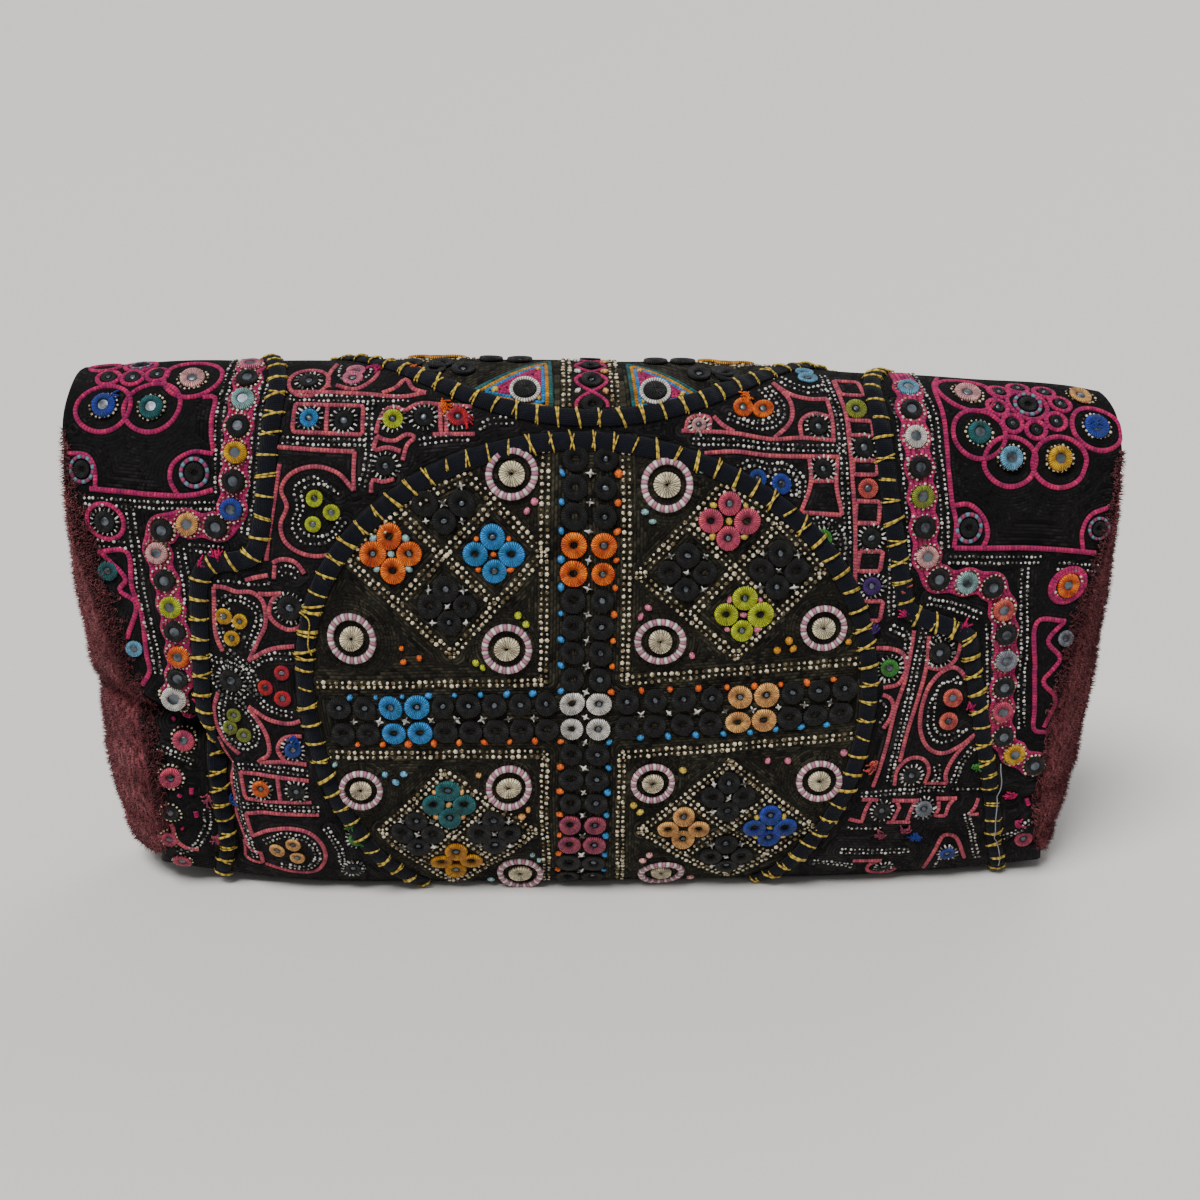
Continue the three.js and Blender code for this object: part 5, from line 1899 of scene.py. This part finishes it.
# Height on the cloth and how far the pile laps over its edge there
PILE_LAP = {
    "left": [
        (9, 0), (25, 2.5), (45, 4), (65, 4), (85, 5), (100, 6), (116, 6), (130, 4.5), (140, 2.5), (150, 0.5),
    ],
    "right": [(9, 0), (30, 0.9), (52, 0.9), (64, 2.6), (100, 3.2), (130, 2.6), (150, 1.2), (158, 0)],
}
LAP_FULLNESS = 3.0
LAP_CELL = 1.2
lap_random = np.random.default_rng(5)


def facing_out(quads, sign):
    return quads[:, ::-1] if sign > 0 else quads


def side_wall(sign):
    share, v = np.meshgrid(np.linspace(0, 1, 29), np.linspace(GUSSET_FROM, GUSSET_TO, 61))
    edge = np.full_like(v, sign * HALF_WIDTH)
    back, front = smooth_cloth(edge, v), read_table(PLACES, edge, v)
    swell = smooth_column(SIDES, 3 if sign < 0 else 4, back[..., 2]) * np.sin(np.pi * share) ** 0.75
    crumple = 1.1 * np.sin(9 * share + v / 9) * np.sin(v / 13 + 4 * share) * np.sin(np.pi * share)
    back[..., 1] = -back[..., 1] - 0.4
    front[..., 1] += GUSSET_INSET
    panel = back + share[..., None] * (front - back)
    panel[..., 0] += sign * (GUSSET_OUT + swell + crumple)
    return panel.reshape(-1, 3) * MM, facing_out(grid_quads(*v.shape), sign)


def lapped_edge(sign, widths):
    """Ragged patches on the front, where the pile laps over the edge of the cloth."""
    inward, v = np.meshgrid(np.arange(-1.8, 9.0, LAP_CELL), np.arange(9.0, 158.5, LAP_CELL))
    lap = np.interp(v, *np.array(widths).T) * lap_random.uniform(0.5, 1.4, v.shape)
    quads = grid_quads(*v.shape)
    quads = quads[(inward < lap).ravel()[quads[:, 0]]]
    return on_cloth(sign * (HALF_WIDTH - inward), v, 0.1).reshape(-1, 3), facing_out(quads, sign)


walls = []
for side, sign in (("left", -1), ("right", 1)):
    panel, panel_quads = side_wall(sign)
    wall = make_sheet(f"gusset_{side}_wool", panel, panel_quads, pile_wool)
    thicken(wall, WOOL_WALL)
    finish_piece(wall, "pile", f"gusset_{side}")
    lap, lap_quads = lapped_edge(sign, PILE_LAP[side])
    woolly = np.vstack([panel_quads, lap_quads + len(panel)]).tolist()
    root_mesh = make_mesh(f"gusset_{side}_pile", np.vstack([panel, lap]), woolly)
    store(root_mesh, "fullness", "FLOAT", np.repeat([1.0, LAP_FULLNESS], [len(panel), len(lap)]))
    pile = make_object(f"gusset_{side}_pile", root_mesh)
    grow(pile, grow_pile, density=PILE_DENSITY, size=PILE_LENGTH, seed=3, shape=fibre, finish=pile_wool)
    walls.append((wall, finish_piece(pile, "pile")))

# %% [markdown]
# ## Tapes and their stitches
# A dark cotton tape, its edges folded under, covers each seam. It is laid as a low arched strip
# along the seam and puffs up between its stitches. A double straw-coloured thread crosses it
# every few millimetres like the rungs of a ladder, never quite straight and never quite even.

# %% Tapes
RUNG_PITCH = 6.2
# The tape's section: place across the seam and height over the cloth
TAPE_ACROSS = np.array([-0.9, -2.4, -2.75, -2.55, -1.9, -1.0, 0.0, 1.0, 1.9, 2.55, 2.75, 2.4, 0.9])
TAPE_LIFT = np.array([0.1, 0.1, 0.35, 0.8, 1.2, 1.42, 1.5, 1.42, 1.2, 0.8, 0.35, 0.1, 0.1])
TAPE_RUN = np.concatenate([[0], np.cumsum(np.hypot(np.diff(TAPE_ACROSS), np.diff(TAPE_LIFT)))])


def across_line(line, across):
    """Places to the right of each point of a line, by the lengths across it."""
    ahead = unit(np.gradient(line, axis=0))
    return line[:, :1] + across * ahead[:, 1:], line[:, 1:] - across * ahead[:, :1]


tapes = {}
for name, seam in seams.items():
    puffed = -0.2 * np.cos(np.arange(len(seam)) * 2 * np.pi / RUNG_PITCH)[:, None]
    tape_points = on_cloth(*across_line(seam, TAPE_ACROSS), TAPE_LIFT * (1 + puffed)).reshape(-1, 3)
    quads = grid_quads(len(seam), len(TAPE_ACROSS))[:, ::-1]
    along = np.repeat(np.arange(len(seam)), len(TAPE_ACROSS))
    flat = np.stack([along, np.tile(TAPE_RUN, len(seam))], axis=-1)
    strip = make_sheet(f"{name}_strip", tape_points, quads, tape_cloth, flat)
    tapes[name] = finish_piece(strip, "tape", name)

# %% Ladder stitches
RUNG_LIFT = 1.55
front_seam = evenly(seams["tape_medallion_front"], 0.5)
resewn = front_seam[(front_seam[:, 0] < -80) & (np.abs(front_seam[:, 1] - 98) < 9)]
rungs = lay_lines("ladder_stitches", [
    (evenly(seam, 0.5)[start:], RUNG_LIFT, "straw") for seam in seams.values() for start in (0, 1)
] + [(resewn[start:], 1.6, "straw") for start in (3, 7)])
grow(rungs, set_along, pitch=RUNG_PITCH * MM, size=5.0 * MM, size_spread=0.2, turn_spread=0.36,
     scatter=0.3 * MM, seed=5, shape=ladder_bar, finish=stitch_thread)
finish_piece(rungs, "tape")

# %% [markdown]
# ## Garlands
# The mirrors of each garland stand on a ribbon of pink stitching with scalloped edges. A ring
# of thread holds every mirror down and leaves only its middle to be seen, and small cream dots
# go round it. The glass discs are the model's own and only get their finish here, so each ring
# is set at the height and slant of its disc and not on the ripple of the cloth.

# %% Ribbons
RIBBON_HALF = 2.75
SCALLOP = 1.35
RIBBON_STEPS = np.linspace(-1, 1, 7)
ribbon_points = {
    "left": [(-107.5, 216), (-106.4, 200)] + GARLAND_LEFT,
    "right": [(97.5, 216), (97.2, 198)] + GARLAND_RIGHT,
}
ringed = np.array([(u, v) for u, v, *_ in garlands])
for side, points in ribbon_points.items():
    line = soften(points)
    to_ring = np.linalg.norm(line[:, None] - ringed[None], axis=2).min(axis=1)
    half = RIBBON_HALF + SCALLOP * np.exp(-((to_ring / 3.0) ** 2))
    across = RIBBON_STEPS * half[:, None]
    lift = 0.5 - 0.4 * np.abs(RIBBON_STEPS) ** 4
    strip = on_cloth(*across_line(line, across), lift).reshape(-1, 3)
    quads = np.roll(grid_quads(*across.shape)[:, ::-1], 1, axis=1)
    stitch_rows = {"row": across.ravel() + 20, "run": np.repeat(np.arange(len(line)), len(RIBBON_STEPS))}
    finish_piece(make_sheet(f"garland_ribbon_{side}", strip, quads, garland_ground, **stitch_rows), "field")
    for edge in (-1, 1):
        cords["field"].append((beside(line, edge * half[:, None]), "hot_pink"))

# %% Rings and mirrors
MIRROR_MIDDLE = 0.68
glass = [bpy.data.objects[name] for name in frame["nodes"] if name.startswith("mirror_")]
glass_middles = np.array([
    np.mean([node.matrix_world @ corner.co for corner in node.data.vertices], axis=0) for node in glass
])
for node in glass:
    node.data.materials.clear()
    node.data.materials.append(mirror_glass)
seats = on_cloth(*ringed.T)
nearest_glass = np.linalg.norm(seats[:, None] - glass_middles[None], axis=2).argmin(axis=1)
glass_height = ((glass_middles[nearest_glass] - seats) * read_table(FACING, *ringed.T)).sum(axis=1) / MM
ring_lift = glass_height - MIRROR_MIDDLE
step = np.array([1.0, 0.0])
flat_across = smooth_cloth(*(ringed + step).T) - smooth_cloth(*(ringed - step).T)
flat_up = smooth_cloth(*(ringed + step[::-1]).T) - smooth_cloth(*(ringed - step[::-1]).T)
garland_rings = lay_places("garland_rings", garlands, ring_lift)
flat_facing = unit(np.cross(flat_across, flat_up)).astype(np.float32)
garland_rings.data.attributes["up"].data.foreach_set("vector", flat_facing.ravel())
stitch(garland_rings, "mirror", set_on_places, unevenness=0.03, seed=4, shape=mirror_ring, finish=ring_thread)
dot_lines = [
    (circle(u, v, 1.12 * radius), lift + 0.5, "cream")
    for (u, v, radius, *_), lift in zip(garlands, ring_lift)
]
dot_lines += [(circle(u, v, radius + 0.6), 0.2, "cream") for u, v, radius in dotted]
garland_dots = lay_lines("garland_dots", dot_lines)
stitch(garland_dots, "mirror", set_along, pitch=1.35 * MM, size=0.42 * MM, size_spread=0.35, turn_spread=0.6,
       scatter=0.15 * MM, seed=6, shape=bead, finish=cream_bead)
print("ringed mirrors:", len(garlands), "glass discs:", len(glass))

# %% [markdown]
# ## Cords, beads and rings
# Now the charts are stitched, patch by patch: couched cords first, then the rows of beads, then
# the rings with their rays and small mirrors.

# %% Couched cords and bead rows
CORD_RADIUS = {"field": 0.86, "yoke": 0.78, "medallion": 0.7}
CORD_LIFT = -0.25
BEAD_SIZE = {"field": 0.48, "yoke": 0.47, "medallion": 0.62}
BEAD_PITCH = {"field": 1.4, "yoke": 1.45, "medallion": 1.9}
SEWN_LIFT = 0.1
for patch, lines in cords.items():
    piece = lay_lines(f"{patch}_cords", [(line, CORD_LIFT, thread) for line, thread in lines])
    stitch(piece, patch, run_cord, step=1.2 * MM, radius=CORD_RADIUS[patch] * MM, finish=couched_cord)
for patch, lines in bead_rows.items():
    piece = lay_lines(f"{patch}_beads", [(line, SEWN_LIFT, "cream") for line in lines])
    finish = cream_bead if patch == "medallion" else silver_bead
    stitch(piece, patch, set_along, pitch=BEAD_PITCH[patch] * MM, size=BEAD_SIZE[patch] * MM,
           size_spread=0.35, turn_spread=0.6, scatter=0.16 * MM, seed=2, shape=bead, finish=finish)

# %% Rings, rays and small mirrors
MIRROR_SHARE = {"field": 0.42, "yoke": 0.36, "medallion": 0.24}
EVERY_MIRROR = {"field": 1, "yoke": 1, "medallion": 2}
for patch, places in rings.items():
    piece = lay_places(f"{patch}_rings", places, SEWN_LIFT)
    stitch(piece, patch, set_on_places, unevenness=0.1, seed=7, shape=eyelet, finish=ring_thread)
rays = lay_lines("ring_rays", [(line, 0.2, "white") for line in ray_lines])
stitch(rays, "yoke", set_along, pitch=1.4 * MM, size=1.2 * MM, size_spread=0.3, turn_spread=0.3,
       scatter=0.12 * MM, seed=8, shape=ray, finish=silver_bead)
mirror_places = [
    (u, v, share * radius, turn, thread) for patch, share in MIRROR_SHARE.items()
    for u, v, radius, turn, thread in rings[patch][::EVERY_MIRROR[patch]]
]
small_mirrors = lay_places("ring_mirrors", mirror_places, 0.25)
stitch(small_mirrors, "mirror", set_on_places, unevenness=0.2, seed=9, shape=disc, finish=mirror_glass)

# %% [markdown]
# ## Striped rings, knots and stars
# A striped ring is a wide flat ring worked in turns of pink and white, with a black gap and a
# pale eye of radiating stitches. Small coloured knots dot the edges of the bands, and white
# stars catch the light between the black eyelets.


# %% Striped rings
def striped_thread(name, turns, first, second):
    made, tree, shader = new_material(name, 0.65, sheen=0.05, shine=0.2)
    count = reckon(tree, "MULTIPLY", uv_parts(tree)["X"], turns)
    wrapped = turns_of(tree, count, sharpness=0.6)
    half_turns = reckon(tree, "FRACT", reckon(tree, "MULTIPLY", count, 0.5))
    both = mixed(tree, reckon(tree, "GREATER_THAN", half_turns, 0.5), first, second)
    cotton = faded(tree, both, amount=0.5, patch_size=0.004)
    # Painted shade in the gaps between turns of thread.
    thread = with_shaded_gaps(tree, wrapped, cotton["Color"], share=0.6, gap_shade=(0.02, 0.012, 0.014, 1))
    dress(tree, shader, thread, wrapped["Height"], depth=0.4)
    return made


def ring_set(name, places, lift, shape, finish, patch="medallion", unevenness=0.06):
    piece = lay_places(name, places, lift)
    stitch(piece, patch, set_on_places, unevenness=unevenness, seed=11, shape=shape, finish=finish)


pink_and_white = striped_thread("pink_and_white", 34, colour("d8ccc4"), colour("b0748a"))
blue_and_pink = striped_thread("blue_and_pink", 16, colour("5f8192"), colour("8c3459"))
eye_thread = wrapped_thread("eye_thread", turns=26, fade=1.0)
stripes = [(u, v, 7.6, 9.0 * u, "pink") for u, v in striped]
pale_eyes = [(u, v, 3.8, 5.0 * u, "cream") for u, v in striped]
worn_eyes = [(u, v, 0.66 * radius, turn, "black") for u, v, radius, turn, _ in worn]
ring_set("striped_rings", stripes, SEWN_LIFT, wide_ring, pink_and_white, unevenness=0.1)
ring_set("pale_eyes", pale_eyes, 0.2, full_eye, eye_thread, unevenness=0.12)
ring_set("triangle_rings", [(u, v, 4.7, 0, "white") for u, v in triangle_eyes], 0.7, wide_ring, ring_thread)
ring_set("triangle_eyes", [(u, v, 3.6, 0, "black") for u, v in triangle_eyes], 0.9, disc, eye_thread)
ring_set("worn_rings", worn, SEWN_LIFT, wide_ring, blue_and_pink, "field", 0.1)
ring_set("worn_eyes", worn_eyes, SEWN_LIFT, eyelet, eye_thread, "field")

# %% Knots and stars
band_knots = [(u, v, 1.2, 40.0 * u, thread) for u, v, thread in knots]
star_bars = [(u, v, 2.6, 15 + turn + 9 * u, "white") for u, v in stars for turn in (0, 90)]
ring_set("band_knots", band_knots, SEWN_LIFT, bead, stitch_thread, unevenness=0.3)
ring_set("white_stars", star_bars, 0.5, glint, silver_bead, unevenness=0.3)

# %% [markdown]
# ## Frayed ends
# Where a tape was cut or a ring has worn through, coloured ends stick out of the seams. Each
# tuft is a few short strands that start together and curl apart. They could be hair particles;
# here they are thin cords on the same tree as the couched ones, since there are so few.

# %% Tufts of thread
TUFTS = [
    (-56, 179.5, "orange"), (-46, 166.5, "orange"), (-39, 162.4, "red"), (-66, 182.5, "magenta"),
    (46, 169.5, "orange"), (-120.5, 116.5, "magenta"), (-114, 118.5, "magenta"), (-131.5, 71, "magenta"),
    (-141, 62.5, "hot_pink"), (-138.5, 35.5, "mauve"), (-138.5, 18.5, "mauve"), (-103, 61.5, "royal"),
    (-132, 32.5, "royal"), (-87, 30, "green"), (-86, 24, "green"), (115, 99.5, "magenta"),
    (125.5, 71, "magenta"), (149.5, 24.5, "hot_pink"), (149, 35.5, "magenta"), (95, 53, "coral"),
    (131.5, 50, "green"), (86.5, 98, "purple"), (92.5, 112.5, "coral"), (97, 104, "magenta"),
    (101.5, 22.8, "mauve"), (108, 23.8, "mauve"), (113, 22.6, "royal"), (148.5, 165, "royal"),
    (-145, 168, "royal"),
]
LINKING_THREAD = [(-92.5, 104), (-90, 101.5), (-91, 97), (-92, 93), (-91.4, 90.5)]
STRANDS = 16
tuft_random = np.random.default_rng(12)
strands = []
for u, v, thread in TUFTS:
    heading = tuft_random.uniform(0, 2 * np.pi)
    for _ in range(STRANDS):
        t = np.linspace(0, 1, 7)
        bearing = heading + tuft_random.normal(0, 0.35) + t * tuft_random.normal(0, 0.7)
        reach = tuft_random.uniform(1.5, 3.8) / len(t)
        curl = np.cumsum(np.stack([np.cos(bearing), np.sin(bearing)], axis=-1), axis=0)
        line = np.array([u, v]) + curl * reach
        line += tuft_random.normal(0, 0.55, 2)
        strands.append((line, 0.4 + tuft_random.uniform(0.3, 1.1) * np.sin(np.pi * t), thread))
strands.append((soften(LINKING_THREAD), 1.9, "straw"))
tufts = lay_lines("thread_tufts", strands)
stitch(tufts, "tape", run_cord, step=0.9 * MM, radius=0.24 * MM, finish=couched_cord)

# %% [markdown]
# ## Declaring the cloth
# Every sheet says how large it was cut. The patches, the lining and the tapes were cut flat and
# sewn down; the side walls are panels sewn into the opening. The small shapes have done their
# work and go.

# %% Sheets and clean-up
FULL_WIDTH = 0.314
SIDE_CUT = (0.062, 0.132)
TAPE_CUT = 0.0105
for name, (ground, width, length, area) in grounds.items():
    cut_width = area / length if name.startswith("yoke") else width
    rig.sheet(ground, flat=(cut_width, length), held="stretched", rests_on=["lining"], area=area)
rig.sheet(
    lining, flat=(FULL_WIDTH, BACK_V * MM), held="folded", rests_on=["pocket_cloth"], with_pieces=trimmings,
)
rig.sheet(pocket, flat=(FULL_WIDTH, (MOUTH_V - BASE_V) * MM), held="folded", rests_on=["lining"])
for wall, pile in walls:
    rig.sheet(wall, flat=SIDE_CUT, held="stretched", rests_on=["lining", "pocket_cloth"], with_pieces=[pile])
for name, tape in tapes.items():
    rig.sheet(tape, flat=(TAPE_CUT, len(seams[name]) * MM), held="stretched", rests_on=["lining"])
for shape in small_shapes:
    mesh = shape.data
    bpy.data.objects.remove(shape)
    bpy.data.meshes.remove(mesh)
triangles = sum(len(piece.data.loop_triangles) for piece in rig.pieces() if piece.type == "MESH")
print("pieces:", len(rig.pieces()), "triangles:", triangles)

# %% Size and finish
visual_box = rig.bounds()
with open("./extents.json", "w") as size_file:
    json.dump({
        "cad": [list(corner) for corner in cad_box], "visual": [list(corner) for corner in visual_box],
    }, size_file)
